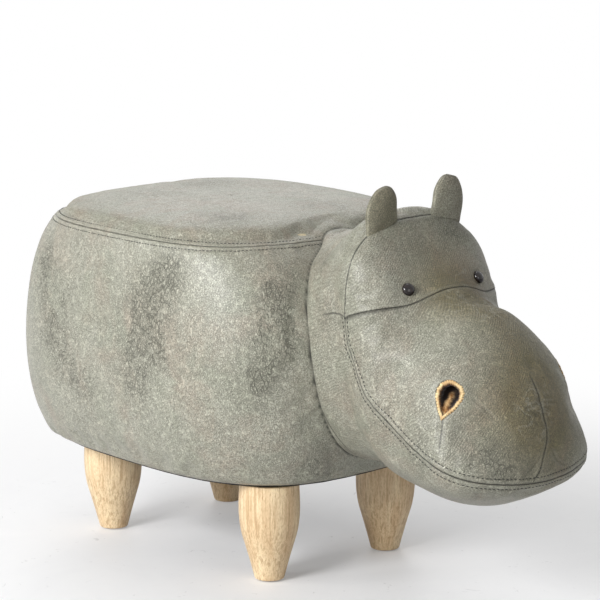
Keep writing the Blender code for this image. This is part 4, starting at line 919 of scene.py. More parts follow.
    def lay_flat(self, flat: Array, x: float, angle: float) -> Array:
        """Places on the head that lie over points of its tangent plane at a spot, found by Newton's steps."""
        centre, normal = self.point(x, angle), self.outward(x, angle)
        up = unit(UP - normal * normal[2])
        plane = np.stack([np.cross(up, normal), up])
        at = np.broadcast_to([x, angle], flat.shape).copy()
        step = self.length * 1e-4
        for _ in range(6):
            here = (self.point(at[:, 0], at[:, 1]) - centre) @ plane.T
            by_x = (self.point(at[:, 0] + step, at[:, 1]) - centre) @ plane.T - here
            by_angle = (self.point(at[:, 0], at[:, 1] + 1e-4) - centre) @ plane.T - here
            slope = np.stack([by_x / step, by_angle / 1e-4], axis=-1)
            at += np.linalg.solve(slope, (flat - here)[..., None])[..., 0]
        return at


# Seams
class SeamStyle(Enum):
    """How a seam looks, in millimetres and shares.

    The values are the radius of the rolled edges, the depth and reach of the broad dip, the offset and
    depth of the row of stitches, the height of the puckers, then the darkness and width of the painted
    shade along the line (groove shadow, partly dirt) and of the painted contact shadow round it.
    """

    TOPSTITCHED = (0.55, 0.12, 5.0, 5.2, 0.40, 0.12, 0.65, 0.42, 0.06, 1.6)
    MOUTH = (0.8, 0.30, 6.0, 5.4, 0.55, 0.13, 1.00, 0.60, 0.20, 2.4)
    PLAIN = (0.7, 0.25, 5.0, 0.0, 0.0, 0.12, 1.00, 0.80, 0.16, 2.0)
    TUCKED = (0.9, 0.25, 5.0, 0.0, 0.0, 0.10, 1.00, 0.95, 0.12, 2.2)
    BROW = (0.5, 0.12, 4.0, 0.0, 0.0, 0.08, 0.80, 0.45, 0.08, 1.6)
    DART = (0.6, 0.20, 3.5, 0.0, 0.0, 0.08, 1.00, 0.60, 0.12, 1.8)
    FAINT = (0.7, 0.35, 3.5, 0.0, 0.0, 0.10, 1.00, 0.80, 0.16, 2.0)
    HEM = (0.8, 0.0, 4.0, 0.0, 0.0, 0.05, 1.00, 0.80, 0.16, 2.0)
    FOLD = (0.5, 0.60, 3.6, 0.0, 0.0, 0.0, 0.05, 1.20, 0.16, 3.2)


# How far a seam works on a panel, and over what length a tucked one calms it. Then the forms beside every seam
SEAM_REACH = 0.030
TUCK_REACH = 0.016
ROW_WIDTH = 1.1 * MM
ROLL_HEIGHT = 0.25 * MM
ROLL_WIDTH = 1.6 * MM
PUCKER_REACH = 6.5 * MM
PUCKER_START = 1.2 * MM
WORN_OFFSET = 2.3 * MM
WORN_WIDTH = 1.2 * MM


@dataclass
class Seam:
    """A seam as a line of points on the base skin."""

    path: Array
    style: SeamStyle
    fade_start: float = 0.0
    fade_end: float = 0.0
    tree: KDTree = field(init=False)
    gone: Array = field(init=False)

    def __post_init__(self) -> None:
        """Index the line for quick distances."""
        self.tree = indexed(self.path)
        self.gone = lengths_along(self.path)

    def measure(self, points: Array) -> tuple[Array, Array]:
        """Distance from the line and place along it for each point."""
        nearest = np.array([self.tree.find(place)[1] for place in points])
        best, where = np.full(len(points), np.inf), np.zeros(len(points))
        for start in (nearest - 1, nearest):
            start = np.clip(start, 0, len(self.path) - 2)
            first, step = self.path[start], self.path[start + 1] - self.path[start]
            share = np.clip(((points - first) * step).sum(-1) / np.maximum((step**2).sum(-1), 1e-15), 0.0, 1.0)
            distance = np.linalg.norm(points - first - step * share[:, None], axis=-1)
            along = self.gone[start] + share * (self.gone[start + 1] - self.gone[start])
            where = np.where(distance < best, along, where)
            best = np.minimum(distance, best)
        return best, where

    def relief(self, points: Array) -> tuple[Array, Array, Array]:
        """What the seam does to the skin.

        Args:
            points: Places on the base skin.

        Returns:
            Height along the outward direction in metres, then painted shade (groove and contact shadow, partly
            dirt) and wear of the colour, from 0 to 1.
        """
        edge, dip, reach, row_offset, row_depth, pucker = (size * MM for size in self.style.value[:6])
        line, fine, halo, broad = self.style.value[6:]
        distance, along = self.measure(points)
        power = np.ones(len(points))
        if self.fade_start:
            power = power * ease(along / self.fade_start)
        if self.fade_end:
            power = power * ease((self.gone[-1] - along) / self.fade_end)
        inner = np.clip(1.0 - distance / edge, 0.0, 1.0)
        height = -edge * (1.0 - np.sqrt(1.0 - inner**2)) - dip * bell(distance, reach)
        if row_offset:
            height = height - row_depth * bell(distance - row_offset, ROW_WIDTH)
            height = height + ROLL_HEIGHT * bell(distance - row_offset / 2, ROLL_WIDTH)
        wave = np.sin(along * 620.0 + 2.2 * np.sin(along * 71.0))
        wave = wave + 0.8 * np.sin(along * 231.0 + 1.7 * np.sin(along * 37.0))
        fade = np.exp(-distance / PUCKER_REACH) * (1.0 - np.exp(-distance / PUCKER_START))
        height = height + pucker * wave * fade
        # Painted shade: a dark line in the groove, partly dirt, and a painted contact shadow round it
        shade = line * bell(distance, fine * MM) + halo * bell(distance, broad * MM)
        worn = bell(distance - WORN_OFFSET, WORN_WIDTH)
        return height * power, np.minimum(shade, 1.0) * power, worn * power


@dataclass
class Skin:
    """Points and outward directions of covers, on which stitches are laid."""

    points: Array
    normals: Array
    tree: KDTree = field(init=False)

    def __post_init__(self) -> None:
        """Index the points."""
        self.tree = indexed(self.points)

    @classmethod
    def of(cls, *panels: "Panel") -> "Skin":
        """The skin of some panels together."""
        return cls(
            np.concatenate([panel.points.reshape(-1, 3) for panel in panels]),
            np.concatenate([panel.normals.reshape(-1, 3) for panel in panels]),
        )

    def lay(self, places: Array) -> tuple[Array, Array]:
        """Move places onto the skin along its outward direction, averaged over the nearest points."""
        laid, outward = [], []
        for place in places:
            found = self.tree.find_n(Vector(place), 4)
            picks = [index for _, index, _ in found]
            weight = np.array([1.0 / (distance + 1e-5) for _, _, distance in found])
            weight /= weight.sum()
            normal = unit((self.normals[picks] * weight[:, None]).sum(0))
            centre = (self.points[picks] * weight[:, None]).sum(0)
            laid.append(place + normal * np.dot(centre - place, normal))
            outward.append(normal)
        return np.array(laid), np.array(outward)


def resampled(path: Array, pitch: float) -> Array:
    """The same line with points at an even pitch."""
    gone = lengths_along(path)
    at = np.linspace(0.0, gone[-1], max(2, int(round(gone[-1] / pitch)) + 1))
    return np.stack([np.interp(at, gone, path[:, axis]) for axis in range(3)], axis=-1)


def offset_line(path: Array, skin: Skin, distance: float) -> Array:
    """A line beside another on the skin, to its right seen from outside when the distance is above 0."""
    laid, outward = skin.lay(path)
    along = unit(np.gradient(path, axis=0))
    return skin.lay(laid + unit(np.cross(along, outward)) * distance)[0]


# Meshes
def grid_mesh(bm: bmesh.types.BMesh, points: Array, values: Optional[dict[str, Array]] = None) -> None:
    """Add a grid of faces through points.

    Args:
        bm: The mesh to add to.
        points: Rows and columns of places.
        values: Numbers to keep at the points, by name, with the same rows and columns.
    """
    rows, columns = points.shape[:2]
    layers = bm.verts.layers.float
    kept = [
        (layers.get(name) or layers.new(name), numbers.reshape(-1))
        for name, numbers in (values or {}).items()
    ]
    made = bmesh.ops.create_grid(bm, x_segments=columns - 1, y_segments=rows - 1, size=1.0)["verts"]
    for vertex, place in zip(made, points.reshape(-1, 3)):
        vertex.co = place
    for layer, numbers in kept:
        for vertex, number in zip(made, numbers):
            vertex[layer] = number


def face_away(bm: bmesh.types.BMesh, inside: Sequence[float]) -> None:
    """Turn an open skin so that it faces away from a place inside."""
    bm.normal_update()
    centre = Vector(inside)
    facing = sum(face.normal.dot(face.calc_center_median() - centre) * face.calc_area() for face in bm.faces)
    if facing < 0:
        bmesh.ops.reverse_faces(bm, faces=bm.faces)


def add_object(name: str, data: bpy.types.ID) -> bpy.types.Object:
    """Add an object to the scene."""
    made = bpy.data.objects.new(name, data)
    bpy.context.scene.collection.objects.link(made)
    return made


def add_mesh(name: str, bm: bmesh.types.BMesh) -> bpy.types.Object:
    """Add a mesh to the scene. The bmesh is used up."""
    mesh = bpy.data.meshes.new(name)
    bm.to_mesh(mesh)
    bm.free()
    return add_object(name, mesh)


SMALLEST_FACE = 1e-13


def finish_piece(
    name: str, bm: bmesh.types.BMesh, finish: Finish, replaces: Sequence[str] = (),
    inside: Optional[Sequence[float]] = None, wall: float = 0.0, weld: float = 1e-6, smooth: bool = True,
) -> bpy.types.Object:
    """Make a mesh a finished piece of the stool.

    Args:
        name: The piece's name.
        bm: Its mesh, which is used up.
        finish: Its finish.
        replaces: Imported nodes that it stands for.
        inside: A place inside, from which an open skin faces away. A closed mesh needs none.
        wall: Thickness to give an open skin, inwards.
        weld: Distance under which points are merged.
        smooth: Whether it is shaded smooth.

    Returns:
        The new object.
    """
    bmesh.ops.remove_doubles(bm, verts=bm.verts, dist=weld)
    flat = [face for face in bm.faces if face.calc_area() < SMALLEST_FACE]
    if flat:
        bmesh.ops.delete(bm, geom=flat, context="FACES_ONLY")
    if inside is None:
        bmesh.ops.recalc_face_normals(bm, faces=bm.faces)
    else:
        face_away(bm, inside)
    bmesh.ops.translate(bm, verts=bm.verts, vec=(SHIFT_X, 0.0, 0.0))
    made = add_mesh(name, bm)
    if smooth:
        made.data.shade_smooth()
    made.data.materials.append(finish.material())
    if wall:
        solid = made.modifiers.new("cover_thickness", "SOLIDIFY")
        solid.thickness = wall
        solid.offset = -1.0
    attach(made, "root")
    if replaces:
        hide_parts(*replaces)
    LOG.info("%s: %d faces", name, len(made.data.polygons))
    return made


STITCH_FLATNESS = 0.42
STITCH_PROUD = 0.16


def stitches(
    name: str, path: Array, skin: Skin, finish: Finish, pitch: float = 0.0044, length: float = 0.0033,
    thickness: float = 0.00105, sink: float = 0.0,
) -> bpy.types.Object:
    """A row of separate stitches that lie on the skin."""
    spots = resampled(path, pitch)
    along = unit(np.gradient(spots, axis=0))
    laid, outward = skin.lay(spots)
    bm = bmesh.new()
    for place, direction, normal in zip(laid, along, outward):
        forward = unit(direction - normal * np.dot(direction, normal))
        aside = np.cross(normal, forward)
        axes = [forward * length / 2, aside * thickness / 2, normal * thickness * STITCH_FLATNESS]
        centre = Vector(place + normal * (thickness * STITCH_PROUD - sink))
        turned = Matrix(np.column_stack(axes).tolist()).to_4x4()
        bmesh.ops.create_uvsphere(
            bm, u_segments=6, v_segments=5, radius=1.0, matrix=Matrix.Translation(centre) @ turned
        )
    return finish_piece(name, bm, finish, weld=1e-8)


def grid_normals(points: Array, inside: Array) -> Array:
    """Outward directions of a grid.

    Args:
        points: Rows and columns of places.
        inside: A place inside, from which the grid faces away.

    Returns:
        One direction for each point.
    """
    if np.allclose(points[:, 0], points[:, -1], atol=1e-9):
        around = np.concatenate([points[:, -2:-1], points, points[:, 1:2]], axis=1)
        across = around[:, 2:] - around[:, :-2]
    else:
        across = np.gradient(points, axis=1)
    normal = np.cross(across, np.gradient(points, axis=0))
    size = np.linalg.norm(normal, axis=-1, keepdims=True)
    normal = np.where(size < 1e-14, 0.0, normal / np.maximum(size, 1e-20))
    away = points - inside
    if (normal * away).sum() < 0:
        normal = -normal
    return np.where(size < 1e-14, unit(away), normal)


@dataclass
class Panel:
    """One cut panel of a cover as a grid, smooth or sculpted, with the values that its finish reads."""

    points: Array
    normals: Array
    values: dict[str, Array] = field(default_factory=dict)

    def thinned(self, pitch: float) -> Array:
        """The grid with about one point for each pitch."""
        picks = []
        for axis in (0, 1):
            line = np.linalg.norm(np.diff(self.points, axis=axis), axis=-1).max(axis=1 - axis)
            gone = np.concatenate([[0.0], np.cumsum(line)])
            count = max(2, int(round(gone[-1] / pitch)) + 1)
            spots = np.interp(np.linspace(0.0, gone[-1], count), gone, np.arange(len(gone)))
            picks.append(np.unique(np.round(spots).astype(int)))
        return self.points[np.ix_(*picks)]

    def sculpt(self, seams: Sequence[Seam], softness: Callable[[Array], Array]) -> "Panel":
        """Press the seams, puckers and dents into the panel.

        Args:
            seams: Seams on or beside the panel.
            softness: Height of the loose unevenness at places on the panel.

        Returns:
            The finished panel.
        """
        flat, normals = self.points.reshape(-1, 3), self.normals.reshape(-1, 3)
        height = softness(flat)
        shade, worn = np.zeros(len(flat)), np.zeros(len(flat))
        for seam in sorted(seams, key=lambda seam: seam.style is not SeamStyle.TUCKED):
            low, high = seam.path.min(axis=0) - SEAM_REACH, seam.path.max(axis=0) + SEAM_REACH
            near = np.flatnonzero(((flat > low) & (flat < high)).all(axis=1))
            if not len(near):
                continue
            rise, dark, rub = seam.relief(flat[near])
            if seam.style is SeamStyle.TUCKED:
                height[near] *= ease(seam.measure(flat[near])[0] / TUCK_REACH)
            height[near] += rise
            # Painted seam shade: the darkest seam wins
            shade[near] = np.maximum(shade[near], dark)
            worn[near] = np.maximum(worn[near], rub)
        points = (flat + normals * height[:, None]).reshape(self.points.shape)
        size = self.points.shape[:2]
        return Panel(points, self.normals, {"seam_shade": shade.reshape(size), "seam_worn": worn.reshape(size)})


@dataclass
class LooseFabric:
    """How a cover settles between its seams: a coarse cloth, cut a little large, sewn down and blown out."""

    seams: Sequence[Seam]
    inside: Place
    held_below: float = 0.0
    pitch: float = 0.0065
    surplus: float = 0.035
    pressure: float = 4.0
    frames: int = 20
    cap: float = 0.0032
    held: float = 0.0040
    calm: float = 0.013

    def _cloth(self, panels: Sequence[Panel]) -> bpy.types.Object:
        """The coarse cloth, facing out."""
        bm = bmesh.new()
        for panel in panels:
            grid_mesh(bm, panel.thinned(self.pitch))
        bmesh.ops.remove_doubles(bm, verts=bm.verts, dist=self.pitch * 0.4)
        loose = [vertex for vertex in bm.verts if not vertex.link_faces]
        bmesh.ops.delete(bm, geom=loose, context="VERTS")
        face_away(bm, self.inside)
        return add_mesh("cloth_trial", bm)

    def _simulate(self, cloth: bpy.types.Object) -> Array:
        """Run the cloth and return where its points end."""
        modifier = cloth.modifiers.new("cloth", "CLOTH")
        for name, value in {
            "quality": 5, "mass": 0.3, "tension_stiffness": 15.0, "compression_stiffness": 15.0,
            "shear_stiffness": 5.0, "bending_stiffness": 0.4, "shrink_min": -self.surplus, "use_pressure": True,
            "uniform_pressure_force": self.pressure, "vertex_group_mass": "held",
        }.items():
            setattr(modifier.settings, name, value)
        modifier.settings.effector_weights.gravity = 0.0
        modifier.collision_settings.use_collision = False
        modifier.point_cache.frame_start, modifier.point_cache.frame_end = 1, self.frames
        scene = bpy.context.scene
        for step in range(1, self.frames + 1):
            scene.frame_set(step)
        settled = cloth.evaluated_get(bpy.context.evaluated_depsgraph_get())
        mesh = settled.to_mesh()
        ends = np.empty(len(mesh.vertices) * 3)
        mesh.vertices.foreach_get("co", ends)
        settled.to_mesh_clear()
        scene.frame_set(1)
        return np.nan_to_num(ends.reshape(-1, 3))

    def settle(self, panels: Sequence[Panel]) -> Callable[[Array], Array]:
        """Find how far the fabric stands off the smooth form.

        Args:
            panels: The cover's panels on the smooth form.

        Returns: The height over the form for places on it.
        """
        cloth = self._cloth(panels)
        count = len(cloth.data.vertices)
        starts, normals = np.empty(count * 3), np.empty(count * 3)
        cloth.data.vertices.foreach_get("co", starts)
        cloth.data.vertices.foreach_get("normal", normals)
        starts, normals = starts.reshape(-1, 3), normals.reshape(-1, 3)
        from_seam = np.min([seam.measure(starts)[0] for seam in self.seams], axis=0)
        held = (from_seam < self.held) | (starts[:, 2] < self.held_below)
        sides = Counter(key for polygon in cloth.data.polygons for key in polygon.edge_keys)
        held[[vertex for edge, faces in sides.items() if faces == 1 for vertex in edge]] = True
        cloth.vertex_groups.new(name="held").add(np.flatnonzero(held).tolist(), 1.0, "REPLACE")
        ends = self._simulate(cloth)
        mesh = cloth.data
        bpy.data.objects.remove(cloth)
        bpy.data.meshes.remove(mesh)
        rise = np.clip(((ends - starts) * normals).sum(axis=1), -self.cap, self.cap)
        middle = rise[~held].mean()
        away = np.minimum(from_seam, np.abs(starts[:, 2] - self.held_below))
        rise = rise - middle * ease(away / self.calm)
        LOG.info("cloth of %d points: spread %.2f mm, middle %.2f mm", count, rise.std() / MM, middle / MM)
        tree = indexed(starts)

        def height(points: Array) -> Array:
            """Height over the form, smoothed over the nearest points of the cloth."""
            out = np.empty(len(points))
            for i, place in enumerate(points):
                found = tree.find_n(place, 10)
                weight = bell(np.array([item[2] for item in found]), self.pitch * 0.8) + 1e-9
                out[i] = (rise[[item[1] for item in found]] * weight).sum() / weight.sum()
            return out

        return height


# Body
@dataclass
class BodyCovers:
    """Seat cover and side cover, sewn together round the rim."""

    form: Barrel
    hide: Hide
    neck_seam: Seam
    columns: int = 400
    wall: float = 0.0012
    held_hem: float = 0.004
    inside_z: float = 0.235

    def __post_init__(self) -> None:
        """Lay out the seat seam."""
        self.turns = self.form.even_turns(self.columns)
        ring = self.form.outline(self.turns, *self.form.seam_insets(np.array(self.form.seam_z)))
        rim = np.column_stack([ring, np.full(len(ring), self.form.seam_z)])
        self.seat_seam = Seam(rim, SeamStyle.TOPSTITCHED)
        self.inside = (self.form.middle_x, 0.0, self.inside_z)

    def _side_profile(self) -> Array:
        """End inset, side inset and height down the side, round the bottom edge and in under the base."""
        form = self.form
        upper_z = np.linspace(form.seam_z, form.girth_z, 60)
        upper = np.column_stack([*form.seam_insets(upper_z), upper_z])
        steepest = math.asin(form.bottom_arc)
        angle = np.linspace(0.0, steepest, 60)[1:]
        lower_z = form.girth_z - (form.girth_z - form.bottom_z) * np.sin(angle) / form.bottom_arc
        lower_inset = form.bottom_inset * (1.0 - np.cos(angle)) / (1.0 - math.cos(steepest))
        lower = np.column_stack([lower_inset, lower_inset, lower_z])
        corner = np.array([form.bottom_inset, form.bottom_inset, form.bottom_z])
        cut, turn, hem = 8, 0.009, 0.022
        start, end, inner = lower[-cut], corner + (turn, turn, 0.0), corner + (hem, hem, 0.0)
        share = np.linspace(0.0, 1.0, 14)[1:, None]
        bend = start * (1 - share) ** 2 + 2 * corner * share * (1 - share) + end * share**2
        under = end + (inner - end) * np.linspace(0, 1, 6)[1:, None]
        return np.concatenate([upper, lower[:-cut], [start], bend, under])

    def side(self) -> Panel:
        """The side cover's panel."""
        profile = self._side_profile()
        gone = lengths_along(profile[:, 1:])
        at = graded(104, 0.72, 0.35) * gone[-1]
        rows = np.stack([np.interp(at, gone, profile[:, i]) for i in range(3)], axis=-1)
        points = np.empty((len(rows), self.columns + 1, 3))
        for row, (end_inset, side_inset, height) in enumerate(rows):
            points[row, :, :2] = self.form.outline(self.turns, end_inset, side_inset)
            points[row, :, 2] = height
        return Panel(points, grid_normals(points, np.array(self.inside)))

    def seat(self) -> Panel:
        """The seat cover's panel, from the rim to the middle."""
        rim = self.seat_seam.path[:, :2] - (self.form.middle_x, 0.0)
        steep_from, radius = 0.9, 0.19
        steep = np.sin(np.linspace(math.asin(steep_from), math.pi / 2, 400))[1:]
        share = np.concatenate([np.linspace(0, steep_from, 200), steep])
        gone = lengths_along(np.column_stack([share * radius, self.form.crown_rise(share)]))
        shares = np.interp(gone[-1] * (1.0 - graded(66, 0.80, 0.0)), gone, share)
        points = np.empty((len(shares), self.columns + 1, 3))
        points[..., :2] = rim[None] * shares[:, None, None] + (self.form.middle_x, 0.0)
        radius = np.linalg.norm(rim, axis=1)
        points[..., 2] = self.form.seam_z + self.form.soft_crown(shares[:, None], self.turns, radius)
        points[0, :, 2] = self.form.seam_z
        return Panel(points, grid_normals(points, np.array([self.form.middle_x, 0.0, 0.0])))

    def softness(self, points: Array) -> Array:
        """Loose unevenness of the upholstery: slack above the legs, calmer on the seat, over the settled cloth.
        """
        slack_from, slack_over, rim = 0.125, 0.05, 0.012
        upper = ease((points[:, 2] - slack_from) / slack_over)
        height = ripple(points, 0.150, 3) * 0.8 * MM + ripple(points, 0.055, 4, (1, 1, 0.6)) * 0.25 * MM
        height = height + ripple(points, 0.022, 5) * 0.08 * MM
        top = ease((points[:, 2] - self.form.seam_z) / rim)
        return height * (0.35 + 0.65 * upper) * (1.0 - 0.35 * top) + self.settled(points)

    def build(self) -> list[Panel]:
        """Make both covers and return their sewn panels."""
        seams = [self.seat_seam, self.neck_seam]
        smooth = (self.side(), self.seat())
        fabric = LooseFabric(seams, self.inside, held_below=self.form.bottom_z + self.held_hem)
        self.settled = fabric.settle(smooth)
        sewn = [panel.sculpt(seams, self.softness) for panel in smooth]
        for node, panel in zip(("side_cover", "seat_cover"), sewn):
            bm = bmesh.new()
            grid_mesh(bm, panel.points, panel.values)
            made = finish_piece(f"{node}_sewn", bm, self.hide, [node], self.inside, self.wall)
        return sewn


# Head
@dataclass
class HeadCovers:
    """The stuffed head: one panel for neck and jaw, a forehead and a muzzle."""

    form: HeadForm
    body: Barrel
    hide: Hide
    over_columns: int = 210
    under_columns: int = 190
    tuck: float = 0.0060
    wall: float = 0.0012
    eye_dimple: float = 1.5 * MM
    eye_dimple_reach: float = 0.0085
    inside: Place = (0.30, 0.0, 0.21)

    def __post_init__(self) -> None:
        """Lay out the seams."""
        form = self.form
        round_angle, over = np.linspace(0.0, math.tau, 361), form.over(np.linspace(0.0, 1.0, 181))
        self.neck_seam = Seam(form.point(self.neck_line(round_angle), round_angle), SeamStyle.TUCKED)
        self.face_seam = Seam(form.point(form.face_seam_x(over), over), SeamStyle.PLAIN)
        self.brow_seam = Seam(form.point(form.brow_seam_x(over), over), SeamStyle.BROW)
        reach = form.reach_x(np.linspace(0.0, 1.0, 161))
        left = form.point(reach, form.mouth_angle(reach))
        right = form.point(reach, math.pi - form.mouth_angle(reach))
        self.mouth_seam = Seam(np.concatenate([left, right[::-1][1:]]), SeamStyle.MOUTH)
        self.darts = [*self._side_darts(False), *self._side_darts(True)]

    def neck_line(self, angle: Array) -> Array:
        """X of the neck seam, smoothed round the sections."""
        spread = np.radians(np.linspace(-6.0, 6.0, 9))
        weight = np.exp(-((spread / math.radians(3.0)) ** 2))
        near = np.stack([self.form.neck_x(np.asarray(angle) + offset, self.body) for offset in spread])
        return (near * weight[:, None]).sum(0) / weight.sum()

    def _side_darts(self, right: bool) -> list[Seam]:
        """Darts of one side: behind the corner of the face, under the nostril and along the throat."""
        form = self.form

        def angles(values: Array) -> Array:
            """Mirror angles to the right side."""
            return math.pi - values if right else values

        back = np.linspace(form.corner_x, 0.218, 40)
        corner = form.point(back, angles(np.full(40, form.corner_angle)))
        share = np.linspace(0.0, 1.0, 30)
        nostril = form.point(0.3990 + 0.0030 * share, angles(np.radians(28.5 - 20.0 * share)))
        throat = np.radians(np.linspace(-38.0, -90.0, 60))
        throat_x = self.neck_line(angles(throat)) + 0.011 * ease(np.linspace(0.0, 1.0, 60) * 1.4)
        return [
            Seam(corner, SeamStyle.DART, fade_end=0.014),
            Seam(nostril, SeamStyle.DART, fade_end=0.005),
            Seam(form.point(throat_x, angles(throat)), SeamStyle.FAINT, fade_start=0.02),
        ]

    def centre_seam(self, muzzle: Panel) -> Seam:
        """The seam down the front of the muzzle, which drifts to the right over the lip."""
        places = np.array([
            (0.430, 0.0, 0.2595), (0.4448, 0.0, 0.2377), (0.452, 0.0, 0.218), (0.456, 0.0, 0.198),
            (0.457, -0.005, 0.185), (0.457, -0.011, 0.170), (0.455, -0.019, 0.160),
        ])
        gone = lengths_along(places)
        at = np.linspace(0.0, gone[-1], 90)
        line = np.stack([smooth_curve(gone, places[:, i])(at) for i in range(3)], axis=-1)
        return Seam(Skin.of(muzzle).lay(line)[0], SeamStyle.DART, fade_start=0.010, fade_end=0.003)

    def folds(self, panels: Sequence[Panel]) -> list[Seam]:
        """Soft creases of the stuffed head beside the nostril, over the lip and at the throat."""
        skin, made = Skin.of(*panels), []
        for line in (
            ((0.409, -0.068, 0.250), (0.418, -0.064, 0.241), (0.427, -0.056, 0.230), (0.437, -0.048, 0.218)),
            ((0.443, -0.007, 0.238), (0.445, 0.007, 0.234), (0.443, 0.026, 0.230)),
            ((0.455, -0.004, 0.190), (0.457, -0.018, 0.174), (0.455, -0.034, 0.164)),
            ((0.236, -0.060, 0.168), (0.226, -0.052, 0.158), (0.216, -0.047, 0.149)),
            ((0.238, -0.040, 0.147), (0.226, -0.031, 0.140), (0.214, -0.026, 0.134)),
        ):
            for mirror in (1.0, -1.0):
                places = resampled(np.array(line) * (1.0, mirror, 1.0), 0.0015)
                made.append(Seam(skin.lay(places)[0], SeamStyle.FOLD, fade_start=0.010, fade_end=0.012))
        return made

    def neck(self) -> tuple[Panel, Panel]:
        """The neck band and the jaw, which meet without a seam under the corners of the face."""
        form = self.form
        over = form.over(np.linspace(0, 1, self.over_columns))
        low, sweep = math.pi - form.corner_angle, math.pi + 2 * form.corner_angle
        under = low + sweep * graded(self.under_columns, 0.55, 0.55)
        ring = np.concatenate([over, under[1:]])
        front = np.concatenate([form.face_seam_x(over), np.full(len(under) - 1, form.corner_x)])
        at_body = self.neck_line(ring)
        start = np.minimum(at_body, form.neck_x(ring, self.body)) - self.tuck
        x = start + (front - start) * graded(60, 0.55, 0.70)[:, None]
        outward = form.outward(x, ring)
        band = form.point(x, ring) - outward * (self.tuck * ease((at_body - x) / self.tuck)[..., None])
        jaw_x = form.reach_x(np.linspace(0.0, 1.0, 140))[:, None]
        mouth = form.mouth_angle(jaw_x)
        angle = (math.pi - mouth) + (math.pi + 2 * mouth) * ((under - low) / sweep)
        return Panel(band, outward), Panel(form.point(jaw_x, angle), form.outward(jaw_x, angle))

    def forehead(self) -> Panel:
        """The panel between the ears and the brow seam."""
        form = self.form
        over = form.over(graded(self.over_columns - 1, 0.35, 0.35))
        back, front = form.face_seam_x(over), form.brow_seam_x(over)
        x = back + (front - back) * graded(64, 0.65, 0.65)[:, None]
        return Panel(form.point(x, over), form.outward(x, over))

    def muzzle(self) -> Panel:
        """The panel from the brow seam over the nose to the mouth seam."""
        form = self.form
        over = form.over(graded(self.over_columns + 30, 0.55, 0.55))
        brow = form.brow_seam_x(over)
        x = brow + (form.nose_x - brow) * np.sin(math.pi / 2 * graded(170, 0.45, 0.0))[:, None]
        fan_x = form.corner_x + (x - brow) * (form.nose_x - form.corner_x) / (form.nose_x - brow)
        spread = (math.pi / 2 - form.mouth_angle(fan_x)) / (math.pi / 2 - form.corner_angle)
        angle = math.pi / 2 + (over - math.pi / 2) * spread
        return Panel(form.point(x, angle), form.outward(x, angle))

    def softness(self, points: Array) -> Array:
        """Loose unevenness of the stuffed head over the settled cloth, with dimples at the eyes."""
        height = ripple(points, 0.110, 11) * 0.6 * MM + ripple(points, 0.040, 12) * 0.20 * MM
        height = height + ripple(points, 0.018, 13) * 0.07 * MM + self.settled(points)
        for side in (1.0, -1.0):
            eye = self.form.point(EYE_X, math.pi / 2 + side * (math.pi / 2 - EYE_ANGLE))
            distance = np.linalg.norm(points - eye, axis=1)
            height = height - self.eye_dimple * bell(distance, self.eye_dimple_reach)
        return height

    def build(self, nostrils: Sequence["Nostril"]) -> list[Panel]:
        """Make the three covers.

        Args:
            nostrils: The openings to cut into the muzzle.

        Returns:
            The sewn panels: neck band, jaw, forehead and muzzle.
        """
        smooth = (*self.neck(), self.forehead(), self.muzzle())
        self.front_seam = self.centre_seam(smooth[-1])
        seams = [self.neck_seam, self.face_seam, self.brow_seam, self.mouth_seam, self.front_seam, *self.darts]
        seams += [nostril.rim for nostril in nostrils]
        self.settled = LooseFabric(seams, self.inside).settle(smooth)
        seams += self.folds(smooth)
        sewn = [panel.sculpt(seams, self.softness) for panel in smooth]
        for node, panels, openings in (
            ("neck_and_jaw_cover", sewn[:2], ()), ("forehead_cover", sewn[2:3], ()),
            ("muzzle_cover", sewn[3:], nostrils),
        ):
            bm = bmesh.new()
            for panel in panels:
                grid_mesh(bm, panel.points, panel.values)
            for nostril in openings:
                nostril.cut(bm)
            made = finish_piece(f"{node}_sewn", bm, self.hide, [node], self.inside, self.wall, weld=2e-5)
        return sewn


@dataclass
class Sided:
    """A piece of the head that comes as a left one and its mirror image."""

    form: HeadForm
    right: bool

    @property
    def side(self) -> str:
        """The side's name."""
        return "right" if self.right else "left"

    def mirrored(self, points: Array) -> Array:
        """Places or directions of the left side, mirrored for the right one."""
        return points * (1.0, -1.0, 1.0) if self.right else points


